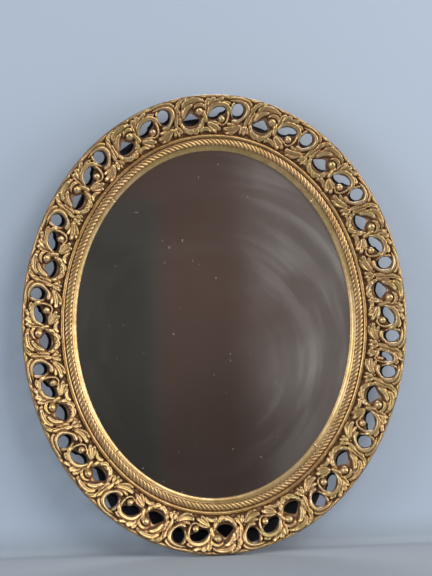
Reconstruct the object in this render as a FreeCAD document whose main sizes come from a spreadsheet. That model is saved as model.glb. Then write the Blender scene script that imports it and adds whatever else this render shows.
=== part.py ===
import FreeCAD, Part

import bisect
import math
import os

import Sketcher
from FreeCAD import Placement, Rotation, Vector

# Oval wall mirror with a gilded openwork border, in millimetres.
# The oval stands in the XZ plane. The wall is the plane Y = 0 and the front faces -Y.
# A place on the frame has a turn (degrees clockwise from the top, seen from the front),
# an out (distance outwards from the sight edge) and a lift (distance forwards from the wall).

doc = FreeCAD.newDocument("oval_mirror")
sheet = doc.addObject("Spreadsheet::Sheet", "sheet")

DRIVING_DIMENSIONS = {
    # the sight opening and the sheets behind it
    "sight_width": 394,
    "sight_height": 494,
    "glass_lap": 3,
    "glass_thick": 4,
    "card_thick": 2,
    "board_lap": 8.3,
    "board_thick": 4,
    # the wooden ring, from the wall forwards
    "recess_lift": 7,
    "recess_out": 24,
    "rebate_out": 4,
    "ledge_out": 9,
    "lip_thick": 2.2,
    "cove_out": 6.8,
    "cove_lift": 26,
    "cove_radius": 9,
    "rope_floor": 24.5,
    "rope_out": 17.6,
    "bead_lift": 28.5,
    "bead_radius": 3,
    "seat_lift": 22,
    "ring_out": 36,
    # the loose tongues in the ring's joints
    "tongue_long": 36,
    "tongue_wide": 14,
    "tongue_thick": 4,
    "tongue_out": 23,
    "tongue_lift": 14,
    # the rope-twist strip
    "rope_gap": 0.3,
    "rope_radius": 5.4,
    "rope_shoulder": 0.8,
    # the outer hoop of bent lath
    "hoop_in": 73,
    "band_width": 77,
    "hoop_back": 33,
    "hoop_middle": 37.5,
    "hoop_front": 42,
    "hoop_lap_turn": 5,
    # the border castings
    "border_in": 23,
    "border_low": 28.5,
    "border_high": 46,
    "full_repeats": 16,
    "make_up_share": 0.49,
    "make_up_place": 0.2915,
    "relief_root": 2.5,
    # the turn buttons that hold the backboard, and the screws
    "button_long": 30.5,
    "button_wide": 10,
    "button_thick": 1.6,
    "button_out": 15,
    "button_heel": 5.5,
    "button_bore": 3.64,
    "button_gap": 0.15,
    "shank_wide": 3.5,
    "shank_long": 12,
    "head_wide": 7,
    "head_high": 2,
    "slot_wide": 1,
    "slot_deep": 0.9,
    # the hanging plate and its ring
    "plate_wide": 46,
    "plate_high": 11,
    "plate_thick": 1.5,
    "plate_out": 14.5,
    "plate_screw_gap": 34,
    "strap_wide": 12,
    "strap_thick": 1.2,
    "pivot_lift": 3.6,
    "wire_wide": 3,
    "wire_play": 0.06,
    "ring_wide": 22,
    "ring_side": 5,
    "ring_corner": 3,
    "notch_wide": 50,
    "notch_over": 2,
}

for row, (name, value) in enumerate(DRIVING_DIMENSIONS.items(), start=1):
    sheet.set(f"A{row}", name)
    sheet.set(f"B{row}", str(value))
    sheet.setAlias(f"B{row}", name)
doc.recompute()


def size(expression):
    """Value of an expression of the sheet's cells, in millimetres."""
    return float(sheet.evalExpression(expression))


half_wide = size("sheet.sight_width / 2")
half_high = size("sheet.sight_height / 2")
FRONT = Vector(0, -1, 0)
BACK = Vector(0, 1, 0)
# The oval's long radius points up and its turn runs clockwise from the top.
OVAL_ROTATION = Rotation(Vector(0, 0, 1), Vector(1, 0, 0), BACK, "XYZ")

pieces = []


def keep(piece, label):
    """Names a finished piece and lists it for writing."""
    piece.Label = label
    pieces.append(piece)
    return piece


# Places on the oval

def outward(turn):
    """Unit vector that points outwards, square to the sight edge."""
    angle = math.radians(turn)
    direction = Vector(half_high * math.sin(angle), 0, half_wide * math.cos(angle))
    return direction.normalize()


def spot(turn, out, lift):
    """Point of the frame at a turn, an out and a lift."""
    angle = math.radians(turn)
    edge = Vector(half_wide * math.sin(angle), 0, half_high * math.cos(angle))
    return edge + outward(turn) * out + FRONT * lift


def section_placement(turn, out=0, lift=0):
    """Placement across the frame: its x axis runs outwards and its y axis forwards."""
    across = outward(turn)
    rotation = Rotation(across, FRONT, across.cross(FRONT), "XYZ")
    return Placement(spot(turn, out, lift), rotation)


def fitting_placement(turn, out, lift):
    """Placement of a fitting on the back: its x axis runs outwards and its z axis to the wall."""
    across = outward(turn)
    rotation = Rotation(across, BACK.cross(across), BACK, "XYZ")
    return Placement(spot(turn, out, lift), rotation)


# Mouldings swept round the oval

STRAIGHT = None


def dimension(sketch, constraint, name, expression):
    """Adds a named dimension that follows the sheet."""
    sketch.renameConstraint(sketch.addConstraint(constraint), name)
    sketch.setExpression(f"Constraints.{name}", expression)


def edge_end(sketch, edge, point):
    """Which end of an edge lies at a point: 1 for its start and 2 for its finish."""
    return 1 if sketch.getPoint(edge, 1).isEqual(point, 1e-6) else 2


def pin_point(sketch, edge, end, out, lift):
    """Ties a point of a section to the sheet; out and lift are expressions, or None for zero."""
    for axis, kind, expression in ((-2, "DistanceX", out), (-1, "DistanceY", lift)):
        if expression is None:
            sketch.addConstraint(Sketcher.Constraint("PointOnObject", edge, end, axis))
            continue
        constraint = Sketcher.Constraint(kind, -1, 1, edge, end, size(expression))
        dimension(sketch, constraint, f"{kind}_{edge}", expression)


def draw_section(sketch, corners):
    """Draws a closed section and ties it to the sheet.

    Each corner is (out, lift, bend). A bend is (side, radius) and makes an arc of the edge that
    leaves the corner: side 1 swells out of the section and side -1 hollows it.
    """
    points = [Vector(size(out) if out else 0, size(lift) if lift else 0) for out, lift, _ in corners]
    count = len(corners)
    for number, (_, _, bend) in enumerate(corners):
        start = points[number]
        finish = points[(number + 1) % count]
        if bend is STRAIGHT:
            sketch.addGeometry(Part.LineSegment(start, finish))
            continue
        side, radius = bend[0], size(bend[1])
        chord = finish - start
        rise = radius - math.sqrt(radius ** 2 - (chord.Length / 2) ** 2)
        swell = Vector(chord.y, -chord.x).normalize() * side * rise
        sketch.addGeometry(Part.Arc(start, (start + finish) / 2 + swell, finish))
    for number, (out, lift, bend) in enumerate(corners):
        following = (number + 1) % count
        meeting = points[following]
        ends = (edge_end(sketch, number, meeting), edge_end(sketch, following, meeting))
        joined = Sketcher.Constraint("Coincident", number, ends[0], following, ends[1])
        sketch.addConstraint(joined)
        pin_point(sketch, number, edge_end(sketch, number, points[number]), out, lift)
        if bend is not STRAIGHT:
            constraint = Sketcher.Constraint("Radius", number, size(bend[1]))
            dimension(sketch, constraint, f"bend_{number}", bend[1])


def section_sketch(name, turn, corners):
    """Closed section across the frame at a turn."""
    sketch = doc.addObject("Sketcher::SketchObject", name)
    draw_section(sketch, corners)
    sketch.Placement = section_placement(turn)
    return sketch


def swept(name, start, stop, corners):
    """Moulding of one section carried round the sight edge from one turn to another."""
    path = doc.addObject("Part::Ellipse", f"{name}_path")
    path.setExpression("MajorRadius", "sheet.sight_height / 2")
    path.setExpression("MinorRadius", "sheet.sight_width / 2")
    path.Angle1 = start % 360
    path.Angle2 = stop % 360
    path.Placement = Placement(Vector(), OVAL_ROTATION)
    moulding = doc.addObject("Part::Sweep", name)
    moulding.Sections = [section_sketch(f"{name}_section", start, corners)]
    moulding.Spine = (path, ["Edge1"])
    moulding.Solid = True
    moulding.Frenet = True
    return moulding


def block(name, placement, sizes):
    """Box whose middle lies at a placement; sizes are expressions along its own x, y and z."""
    box = doc.addObject("Part::Box", name)
    for side, expression in zip(("Length", "Width", "Height"), sizes):
        box.setExpression(side, expression)
    corner = Vector(*(-size(expression) / 2 for expression in sizes))
    box.Placement = placement * Placement(corner, Rotation())
    return box


def pilot_hole(name, placement):
    """Round tool for a screw's hole, which runs forwards from the surface at a placement."""
    drill = doc.addObject("Part::Cylinder", name)
    drill.setExpression("Radius", "sheet.shank_wide / 2")
    drill.setExpression("Height", "sheet.shank_long")
    drill.Placement = placement * Placement(Vector(0, 0, -size("sheet.shank_long")), Rotation())
    return drill


def cut_away(name, base, tools):
    """The base with each tool cut out of it."""
    for number, tool in enumerate(tools):
        cut = doc.addObject("Part::Cut", f"{name}_cut_{number}")
        cut.Base = base
        cut.Tool = tool
        base = cut
    return base


# The wooden ring: four segments with loose tongues in their joints

SIDES = ("top", "right", "bottom", "left")
QUARTER = 90
FIRST_RING_JOINT = -45
BUTTON_TURNS = (30, 90, 150, 210, 270, 330)

board_front = "sheet.recess_lift + sheet.board_thick"
lip_back = f"{board_front} + sheet.card_thick + sheet.glass_thick"
lip_front = f"{lip_back} + sheet.lip_thick"

RING_SECTION = (
    ("sheet.recess_out", None, STRAIGHT),
    ("sheet.ring_out", None, STRAIGHT),
    ("sheet.ring_out", "sheet.seat_lift", STRAIGHT),
    ("sheet.border_in", "sheet.seat_lift", STRAIGHT),
    ("sheet.border_in", "sheet.bead_lift", (1, "sheet.bead_radius")),
    ("sheet.rope_out", "sheet.bead_lift", STRAIGHT),
    ("sheet.rope_out", "sheet.rope_floor", STRAIGHT),
    ("sheet.cove_out", "sheet.rope_floor", STRAIGHT),
    ("sheet.cove_out", "sheet.cove_lift", (-1, "sheet.cove_radius")),
    (None, lip_front, STRAIGHT),
    (None, lip_back, STRAIGHT),
    ("sheet.rebate_out", lip_back, STRAIGHT),
    ("sheet.rebate_out", board_front, STRAIGHT),
    ("sheet.ledge_out", board_front, STRAIGHT),
    ("sheet.ledge_out", "sheet.recess_lift", STRAIGHT),
    ("sheet.recess_out", "sheet.recess_lift", STRAIGHT),
)
TONGUE_SIZES = ("sheet.tongue_wide", "sheet.tongue_thick", "sheet.tongue_long")


def tongue_at(number):
    """Loose tongue across the ring's joint at the end of a segment."""
    turn = FIRST_RING_JOINT + QUARTER * (number + 1)
    place = section_placement(turn, size("sheet.tongue_out"), size("sheet.tongue_lift"))
    name = f"joint_tongue_{SIDES[number]}_{SIDES[(number + 1) % len(SIDES)]}"
    return keep(block(name, place, TONGUE_SIZES), name)


def hook_notch():
    """Room in the rear land at the top for the hanging ring and the hook that it hangs on."""
    out_past_land = "sheet.ring_out - sheet.recess_out + 2 * sheet.notch_over"
    middle = size("(sheet.ring_out + sheet.recess_out) / 2")
    place = section_placement(0, middle, size("sheet.recess_lift / 2"))
    return block("hook_notch", place, (out_past_land, "sheet.recess_lift", "sheet.notch_wide"))


def make_ring():
    """Four segments of the ring, with slots for the tongues and holes for the screws."""
    tongues = [tongue_at(number) for number in range(len(SIDES))]
    for number, side in enumerate(SIDES):
        start = FIRST_RING_JOINT + QUARTER * number
        stop = start + QUARTER
        tools = [tongues[number - 1], tongues[number]]
        for turn in BUTTON_TURNS:
            if (turn - start) % 360 < QUARTER:
                place = fitting_placement(turn, size("sheet.button_out"), size("sheet.recess_lift"))
                tools.append(pilot_hole(f"button_pilot_{turn}", place))
        if side == "top":
            tools.append(hook_notch())
            for place in plate_screw_places():
                tools.append(pilot_hole("plate_pilot", place))
        ring = swept(f"ring_{side}_moulding", start, stop, RING_SECTION)
        keep(cut_away(f"ring_{side}", ring, tools), f"ring_segment_{side}")


# The rope-twist strip, in four lengths that lie in the ring's channel

ROPE_SECTION = (
    ("sheet.cove_out + sheet.rope_gap", "sheet.rope_floor", STRAIGHT),
    ("sheet.rope_out - sheet.rope_gap", "sheet.rope_floor", STRAIGHT),
    ("sheet.rope_out - sheet.rope_gap", "sheet.rope_floor + sheet.rope_shoulder",
     (1, "sheet.rope_radius")),
    ("sheet.cove_out + sheet.rope_gap", "sheet.rope_floor + sheet.rope_shoulder", STRAIGHT),
)


def make_rope():
    for number, side in enumerate(("upper_right", "lower_right", "lower_left", "upper_left")):
        start = QUARTER * number
        rope = swept(f"rope_{side}", start, start + QUARTER, ROPE_SECTION)
        keep(rope, f"rope_strip_{side}")


# The outer hoop: four laths that lap each other, half their depth each

FIRST_HOOP_JOINT = 20


def hoop_section(back, front):
    return (
        ("sheet.hoop_in", back, STRAIGHT),
        ("sheet.band_width", back, STRAIGHT),
        ("sheet.band_width", front, STRAIGHT),
        ("sheet.hoop_in", front, STRAIGHT),
    )


def make_hoop():
    lap = size("sheet.hoop_lap_turn")
    rear = hoop_section("sheet.hoop_back", "sheet.hoop_middle")
    fore = hoop_section("sheet.hoop_middle", "sheet.hoop_front")
    for number in range(len(SIDES)):
        start = FIRST_HOOP_JOINT + QUARTER * number
        lath = doc.addObject("Part::Fuse", f"hoop_{number + 1}")
        lath.Base = swept(f"hoop_rear_{number + 1}", start, start + QUARTER, rear)
        lath.Tool = swept(f"hoop_fore_{number + 1}", start + lap, start + QUARTER + lap, fore)
        keep(lath, f"hoop_lath_{number + 1}")


# The border: openwork castings, one for each repeat of the scroll, glued side by side

# A place in the motif is (share, out). Share 1 is the middle of the round eye that the casting
# ends with, and share 0 is the same eye of the casting before it.
MID_BORDER = 46
CASTING_FROM = 0.2
TURN_STEPS = 3600

ROUND_EYE = ((0.918, 55), (0.932, 62.5), (0.972, 66.6), (1.03, 66), (1.074, 61.5), (1.086, 55), (1.07, 48.5),
             (1.02, 45.4), (0.965, 46), (0.93, 49.5))
BEAN_EYE = ((0.594, 47.5), (0.645, 54), (0.715, 58.8), (0.785, 60), (0.832, 57), (0.836, 52), (0.8, 49),
            (0.758, 47.4), (0.735, 44), (0.7, 41.8), (0.645, 41.6), (0.608, 43.4))
TEAR_EYE = ((0.232, 42.5), (0.285, 48.5), (0.345, 54.5), (0.395, 52), (0.45, 48), (0.478, 42.5), (0.435, 37),
            (0.36, 35.4), (0.28, 37.5))

# A raised stroke is (middle line, half width at each of its points, height).
EYE_STROKES = (
    # scroll that rises from the calyx and closes over the round eye
    (((1.14, 40), (1.15, 49), (1.13, 59), (1.07, 68), (0.99, 70), (0.92, 66)), (2.5, 3, 3, 3, 3, 1.6), 5),
    # shoot under the eye that ends in a bud
    (((1.12, 42), (1.06, 40.5), (0.99, 41.5)), (2.2, 2.4, 3), 4),
    # leaf that runs back under the eye, and the ribs of the calyx
    (((1.1, 36), (1.02, 36), (0.95, 32.5), (0.885, 27.5)), (2.5, 3.4, 4, 2), 4.5),
    (((1.15, 39), (1.115, 32), (1.07, 26.5)), (2, 2.4, 1.6), 4),
    (((1.165, 39), (1.15, 33), (1.14, 26.5)), (1.6, 2, 1.4), 4),
)
BEAN_SCROLL = (((0.72, 64.5), (0.8, 63.5), (0.875, 58), (0.905, 50), (0.885, 42), (0.835, 37.5), (0.775, 38)),
               (4, 4, 3.4, 3, 2.8, 2.6, 2), 5)
TEAR_STROKES = (
    # shoulder leaf of the bean scroll
    (((0.6, 61), (0.66, 65), (0.73, 64.5)), (3, 4.6, 4), 5),
    # loop round the tear eye, the leaf that falls over it and its inner rib
    (((0.235, 39), (0.29, 32.5), (0.37, 29), (0.45, 30.5), (0.52, 36), (0.55, 44), (0.555, 54), (0.54, 61)),
     (2, 2.6, 3, 3, 3, 3, 3, 2), 5),
    (((0.245, 60), (0.31, 64), (0.39, 66.5), (0.47, 65), (0.53, 60)), (2.5, 5, 5.5, 4, 2), 5.5),
    (((0.25, 49), (0.29, 56), (0.36, 60.5), (0.42, 59)), (2, 3, 3, 2.2), 4.5),
    # leaf and ridge in the foot between the two eyes
    (((0.56, 40), (0.63, 40.5), (0.7, 36.5), (0.755, 31), (0.79, 27)), (2.5, 3, 3.2, 3, 1.8), 4.5),
    (((0.42, 26.5), (0.52, 28.5), (0.6, 31), (0.69, 28.5)), (1.5, 2.2, 2.4, 1.5), 4),
)
# A ball end is (place, radius).
EYE_BALLS = (((0.8, 44), 4.6), ((0.985, 41.5), 3.4))
TEAR_BALLS = (((0.48, 53.5), 4.6),)
# In the make-up casting the bean eye is squeezed towards this share.
MAKE_UP_SQUEEZE = 0.53
SQUEEZE_FROM = 0.88

CASTING_SECTION = (
    ("sheet.border_in", "sheet.seat_lift", STRAIGHT),
    ("sheet.ring_out", "sheet.seat_lift", STRAIGHT),
    ("sheet.hoop_in", "sheet.hoop_back", STRAIGHT),
    ("sheet.hoop_in", "sheet.hoop_front", STRAIGHT),
    ("sheet.band_width", "sheet.hoop_front", STRAIGHT),
    ("sheet.band_width", "sheet.border_high", STRAIGHT),
    ("sheet.hoop_in", "sheet.border_high", STRAIGHT),
    ("sheet.border_in", "sheet.border_low", STRAIGHT),
)


def measure_border():
    """Length along the middle of the border from the top to each small step of turn."""
    lengths = [0.0]
    last = spot(0, MID_BORDER, 0)
    for step in range(1, TURN_STEPS + 1):
        point = spot(step * 360 / TURN_STEPS, MID_BORDER, 0)
        lengths.append(lengths[-1] + point.distanceToPoint(last))
        last = point
    return lengths


def turn_at(lengths, length):
    """Turn of the point that lies a given length along the middle of the border."""
    rounds, rest = divmod(length, lengths[-1])
    step = bisect.bisect_right(lengths, rest) - 1
    share = (rest - lengths[step]) / (lengths[step + 1] - lengths[step])
    return (step + share) * 360 / TURN_STEPS + 360 * rounds


def smooth_outline(points):
    """Closed face inside a smooth curve through a few points of one plane."""
    curve = Part.BSplineCurve()
    curve.interpolate(points, PeriodicFlag=True)
    return Part.Face(Part.Wire(curve.toShape()))


front_rise = size("(sheet.border_high - sheet.border_low) / (sheet.hoop_in - sheet.border_in)")


def front_lift(out):
    """Lift of the castings' front ground, which slopes up to the hoop and runs level over it."""
    run = min(out, size("sheet.hoop_in")) - size("sheet.border_in")
    return size("sheet.border_low") + front_rise * run


class Casting:
    """One casting: where its motif lies on the oval, and the solids that it is made of."""

    def __init__(self, lengths, eye_length, pitch, first_share):
        self.lengths = lengths
        self.eye_length = eye_length
        self.pitch = pitch
        middle = self.turn((first_share + 1 + CASTING_FROM) / 2)
        self.square = (FRONT - outward(middle) * front_rise).normalize()
        self.touching = spot(middle, MID_BORDER, front_lift(MID_BORDER))

    def turn(self, share):
        return turn_at(self.lengths, self.eye_length + (share - 1) * self.pitch)

    def on_flat(self, share, out):
        """Place of the motif on the flat that touches the sloping front at the casting's middle."""
        point = spot(self.turn(share), out, front_lift(out))
        return point - self.square * (point - self.touching).dot(self.square)

    def eye_cutter(self, outline):
        """Prism that pierces an eye square to the slope."""
        reach = self.square * size("sheet.border_high")
        face = smooth_outline([self.on_flat(*place) for place in outline])
        face.translate(-reach)
        return face.extrude(reach * 2)

    def stroke(self, middle_line, half_widths, height):
        """Raised stroke with a smooth outline, rooted in the ground."""
        points = [self.on_flat(*place) for place in middle_line]
        left, right = [], []
        for number, half in enumerate(half_widths):
            ahead = points[min(number + 1, len(points) - 1)] - points[max(number - 1, 0)]
            side = self.square.cross(ahead).normalize() * half
            left.append(points[number] + side)
            right.append(points[number] - side)
        face = smooth_outline(left + right[::-1])
        root = self.square * size("sheet.relief_root")
        face.translate(-root)
        return face.extrude(root + self.square * height)

    def ball(self, place, radius):
        """Ball end of a scroll, sunk a little in the ground, with its pole at the top."""
        middle = self.on_flat(*place) + self.square * radius / 2
        return Part.makeSphere(radius, middle, self.square)


def make_border():
    """Full castings clockwise from the make-up place, then the short make-up casting."""
    lengths = measure_border()
    full = int(size("sheet.full_repeats"))
    make_up = size("sheet.make_up_share")
    pitch = lengths[-1] / (full + make_up)
    first_eye = size("sheet.make_up_place") * lengths[-1]
    for number in range(full + 1):
        short = number == full
        eye_length = first_eye if short else first_eye + (number + 1) * pitch
        first_share = 1 + CASTING_FROM - make_up if short else CASTING_FROM
        casting = Casting(lengths, eye_length, pitch, first_share)
        label = "border_casting_make_up" if short else f"border_casting_{number + 1:02d}"
        start, stop = casting.turn(first_share), casting.turn(1 + CASTING_FROM)
        blank = swept(f"{label}_blank", start, stop, CASTING_SECTION)
        doc.recompute()
        if short:
            bean = [(SQUEEZE_FROM - (SQUEEZE_FROM - share) * MAKE_UP_SQUEEZE, out) for share, out in BEAN_EYE]
            eyes = (ROUND_EYE, bean)
            strokes = EYE_STROKES + (BEAN_SCROLL,)
            balls = EYE_BALLS
        else:
            eyes = (ROUND_EYE, BEAN_EYE, TEAR_EYE)
            strokes = EYE_STROKES + (BEAN_SCROLL,) + TEAR_STROKES
            balls = EYE_BALLS + TEAR_BALLS
        relief = [casting.stroke(*stroke) for stroke in strokes]
        relief += [casting.ball(*ball) for ball in balls]
        raised = blank.Shape.fuse(relief)
        piece = doc.addObject("Part::Feature", f"{label}_casting")
        piece.Shape = raised.cut([casting.eye_cutter(outline) for outline in eyes])
        keep(piece, label)


# The sheets in the rebate

def plane_sketch(body, role, name):
    """Sketch on one of a body's own origin planes."""
    sketch = body.newObject("Sketcher::SketchObject", name)
    plane = next(item for item in body.Origin.OriginFeatures if item.Role == role)
    sketch.AttachmentSupport = (plane, "")
    sketch.MapMode = "FlatFace"
    return sketch


def oval_sheet(label, lap, back, thick):
    """Flat oval sheet that laps behind the sight edge; back is the lift of its rear face."""
    body = doc.addObject("PartDesign::Body", f"{label}_body")
    sketch = plane_sketch(body, "XZ_Plane", f"{label}_outline")
    sketch.setExpression(".AttachmentOffset.Base.z", back)
    wide = f"sheet.sight_width + 2 * {lap}"
    high = f"sheet.sight_height + 2 * {lap}"
    top = Vector(0, size(high) / 2)
    right = Vector(size(wide) / 2, 0)
    oval = sketch.addGeometry(Part.Ellipse(top, right, Vector()))
    sketch.exposeInternalGeometry(oval)
    long_axis, short_axis = oval + 1, oval + 2
    sketch.addConstraint(Sketcher.Constraint("Coincident", oval, 3, -1, 1))
    sketch.addConstraint(Sketcher.Constraint("Vertical", long_axis))
    for axis, name, length in ((long_axis, "high", high), (short_axis, "wide", wide)):
        dimension(sketch, Sketcher.Constraint("Distance", axis, size(length)), name, length)
    pad = body.newObject("PartDesign::Pad", f"{label}_pad")
    pad.Profile = sketch
    pad.setExpression("Length", thick)
    return keep(body, label)


def make_sheets():
    card_front = f"{board_front} + sheet.card_thick"
    oval_sheet("mirror_glass", "sheet.glass_lap", card_front, "sheet.glass_thick")
    oval_sheet("packing_card", "sheet.glass_lap", board_front, "sheet.card_thick")
    oval_sheet("backboard", "sheet.board_lap", "sheet.recess_lift", "sheet.board_thick")


# Fittings on the back

def rounded_bar(sketch, left, right, wide):
    """Bar with round ends along the sketch's x axis, between the middles of its end arcs."""
    x0, x1, half = -size(left), size(right), size(wide) / 2
    sketch.addGeometry(Part.LineSegment(Vector(x0, -half), Vector(x1, -half)))
    sketch.addGeometry(Part.Arc(Vector(x1, -half), Vector(x1 + half, 0), Vector(x1, half)))
    sketch.addGeometry(Part.LineSegment(Vector(x1, half), Vector(x0, half)))
    sketch.addGeometry(Part.Arc(Vector(x0, half), Vector(x0 - half, 0), Vector(x0, -half)))
    for line, line_end, arc, arc_end in ((0, 2, 1, 1), (2, 1, 1, 2), (2, 2, 3, 1), (0, 1, 3, 2)):
        sketch.addConstraint(Sketcher.Constraint("Tangent", line, line_end, arc, arc_end))
    for arc in (1, 3):
        sketch.addConstraint(Sketcher.Constraint("PointOnObject", arc, 3, -1))
    dimension(sketch, Sketcher.Constraint("Radius", 1, half), "half_wide", f"{wide} / 2")
    dimension(sketch, Sketcher.Constraint("DistanceX", -1, 1, 1, 3, x1), "right", right)
    dimension(sketch, Sketcher.Constraint("DistanceX", 3, 3, -1, 1, -x0), "left", left)


def round_hole(sketch, x, wide, name, place):
    """Circle on the sketch's x axis; place is its distance from the middle, or None at it."""
    hole = sketch.addGeometry(Part.Circle(Vector(x, 0), Vector(0, 0, 1), size(wide) / 2))
    dimension(sketch, Sketcher.Constraint("Diameter", hole, size(wide)), f"{name}_wide", wide)
    if place is None:
        sketch.addConstraint(Sketcher.Constraint("Coincident", hole, 3, -1, 1))
        return
    sketch.addConstraint(Sketcher.Constraint("PointOnObject", hole, 3, -1))
    ends = (-1, 1, hole, 3) if x > 0 else (hole, 3, -1, 1)
    dimension(sketch, Sketcher.Constraint("DistanceX", *ends, abs(x)), f"{name}_place", place)


def make_button(turn):
    """Turn button on its screw: its long arm reaches inwards over the backboard."""
    body = doc.addObject("PartDesign::Body", f"turn_button_body_{turn}")
    outline = plane_sketch(body, "XY_Plane", f"button_outline_{turn}")
    arm = "sheet.button_long - sheet.button_heel - sheet.button_wide / 2"
    rounded_bar(outline, arm, "sheet.button_heel - sheet.button_wide / 2", "sheet.button_wide")
    round_hole(outline, 0, "sheet.button_bore", "bore", None)
    pad = body.newObject("PartDesign::Pad", f"button_pad_{turn}")
    pad.Profile = outline
    pad.setExpression("Length", "sheet.button_thick")
    lift = size("sheet.recess_lift - sheet.button_gap")
    body.Placement = fitting_placement(turn, size("sheet.button_out"), lift)
    keep(body, f"turn_button_{BUTTON_TURNS.index(turn) + 1}")


SCREW_SECTION = (
    (None, None, STRAIGHT),
    ("sheet.shank_wide / 2", "sheet.shank_wide / 2", STRAIGHT),
    ("sheet.shank_wide / 2", "sheet.shank_long", STRAIGHT),
    ("sheet.head_wide / 2", "sheet.shank_long", STRAIGHT),
    ("sheet.head_wide / 2", "sheet.shank_long + sheet.head_high / 2",
     (1, "((sheet.head_wide / 2) ^ 2 + (sheet.head_high / 2) ^ 2) / sheet.head_high")),
    (None, "sheet.shank_long + sheet.head_high", STRAIGHT),
)
# The slots of the button screws were left turned by this angle.
SLOT_TURN = 35


def make_screw():
    """Round-headed slotted wood screw: its tip is at the origin and its head is towards +z."""
    body = doc.addObject("PartDesign::Body", "screw_body")
    side = plane_sketch(body, "XZ_Plane", "screw_side")
    draw_section(side, SCREW_SECTION)
    turned = body.newObject("PartDesign::Revolution", "screw_turned")
    turned.Profile = side
    turned.ReferenceAxis = (side, ["V_Axis"])
    turned.Angle = 360
    top = Placement(Vector(0, 0, size("sheet.shank_long + sheet.head_high")), Rotation())
    slot = block("screw_slot", top, ("sheet.head_wide", "sheet.slot_wide", "2 * sheet.slot_deep"))
    return cut_away("screw", body, [slot])


def plate_screw_places():
    """Placements of the two plate screws, on the floor of the recess."""
    middle = fitting_placement(0, size("sheet.plate_out"), size("sheet.recess_lift"))
    half_gap = size("sheet.plate_screw_gap / 2")
    return [middle * Placement(Vector(0, side * half_gap, 0), Rotation()) for side in (-1, 1)]


def screw_group(label, screw, places):
    """Several screws as one piece; each place is where a screw's head is seated."""
    group = doc.addObject("Part::Feature", f"{label}_group")
    seated = Placement(Vector(0, 0, -size("sheet.shank_long")), Rotation())
    copies = []
    for place in places:
        copy = screw.Shape.copy()
        copy.Placement = place * seated * copy.Placement
        copies.append(copy)
    group.Shape = Part.makeCompound(copies)
    keep(group, label)


def make_screws(screw):
    stack = size("sheet.button_thick + 2 * sheet.button_gap")
    seat = size("sheet.recess_lift") - stack
    out = size("sheet.button_out")
    turned = Placement(Vector(), Rotation(Vector(0, 0, 1), SLOT_TURN))
    places = [fitting_placement(turn, out, seat) * turned for turn in BUTTON_TURNS]
    screw_group("button_screws", screw, places)
    on_plate = Placement(Vector(0, 0, size("sheet.plate_thick")), Rotation())
    screw_group("plate_screws", screw, [place * on_plate for place in plate_screw_places()])


def make_plate():
    """Hanging plate on the recess floor, with a rolled strap for the ring's straight side."""
    body = doc.addObject("PartDesign::Body", "hanging_plate_body")
    outline = plane_sketch(body, "XY_Plane", "plate_outline")
    reach = "sheet.plate_wide / 2 - sheet.plate_high / 2"
    rounded_bar(outline, reach, reach, "sheet.plate_high")
    half_gap = size("sheet.plate_screw_gap / 2")
    for side, name in ((-1, "left_hole"), (1, "right_hole")):
        round_hole(outline, side * half_gap, "sheet.shank_wide", name, "sheet.plate_screw_gap / 2")
    pad = body.newObject("PartDesign::Pad", "plate_pad")
    pad.Profile = outline
    pad.setExpression("Length", "sheet.plate_thick")
    bore = "sheet.wire_wide / 2 + sheet.wire_play"
    roll = f"{bore} + sheet.strap_thick"
    pivot = "sheet.recess_lift - sheet.pivot_lift"
    for kind, name, radius in (("Pad", "strap", roll), ("Pocket", "strap_bore", bore)):
        side_view = plane_sketch(body, "YZ_Plane", f"{name}_side")
        ring = side_view.addGeometry(Part.Circle(Vector(0, size(pivot)), Vector(0, 0, 1), size(radius)))
        side_view.addConstraint(Sketcher.Constraint("PointOnObject", ring, 3, -2))
        lifted = Sketcher.Constraint("DistanceY", -1, 1, ring, 3, size(pivot))
        dimension(side_view, lifted, "pivot", pivot)
        dimension(side_view, Sketcher.Constraint("Radius", ring, size(radius)), "round", radius)
        feature = body.newObject(f"PartDesign::{kind}", f"{name}_feature")
        feature.Profile = side_view
        feature.SideType = "Symmetric"
        feature.setExpression("Length", "sheet.strap_wide")
    level = Placement(Vector(), Rotation(Vector(0, 0, 1), 90))
    middle = fitting_placement(0, size("sheet.plate_out"), size("sheet.recess_lift"))
    body.Placement = middle * level
    keep(body, "hanging_plate")


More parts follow.
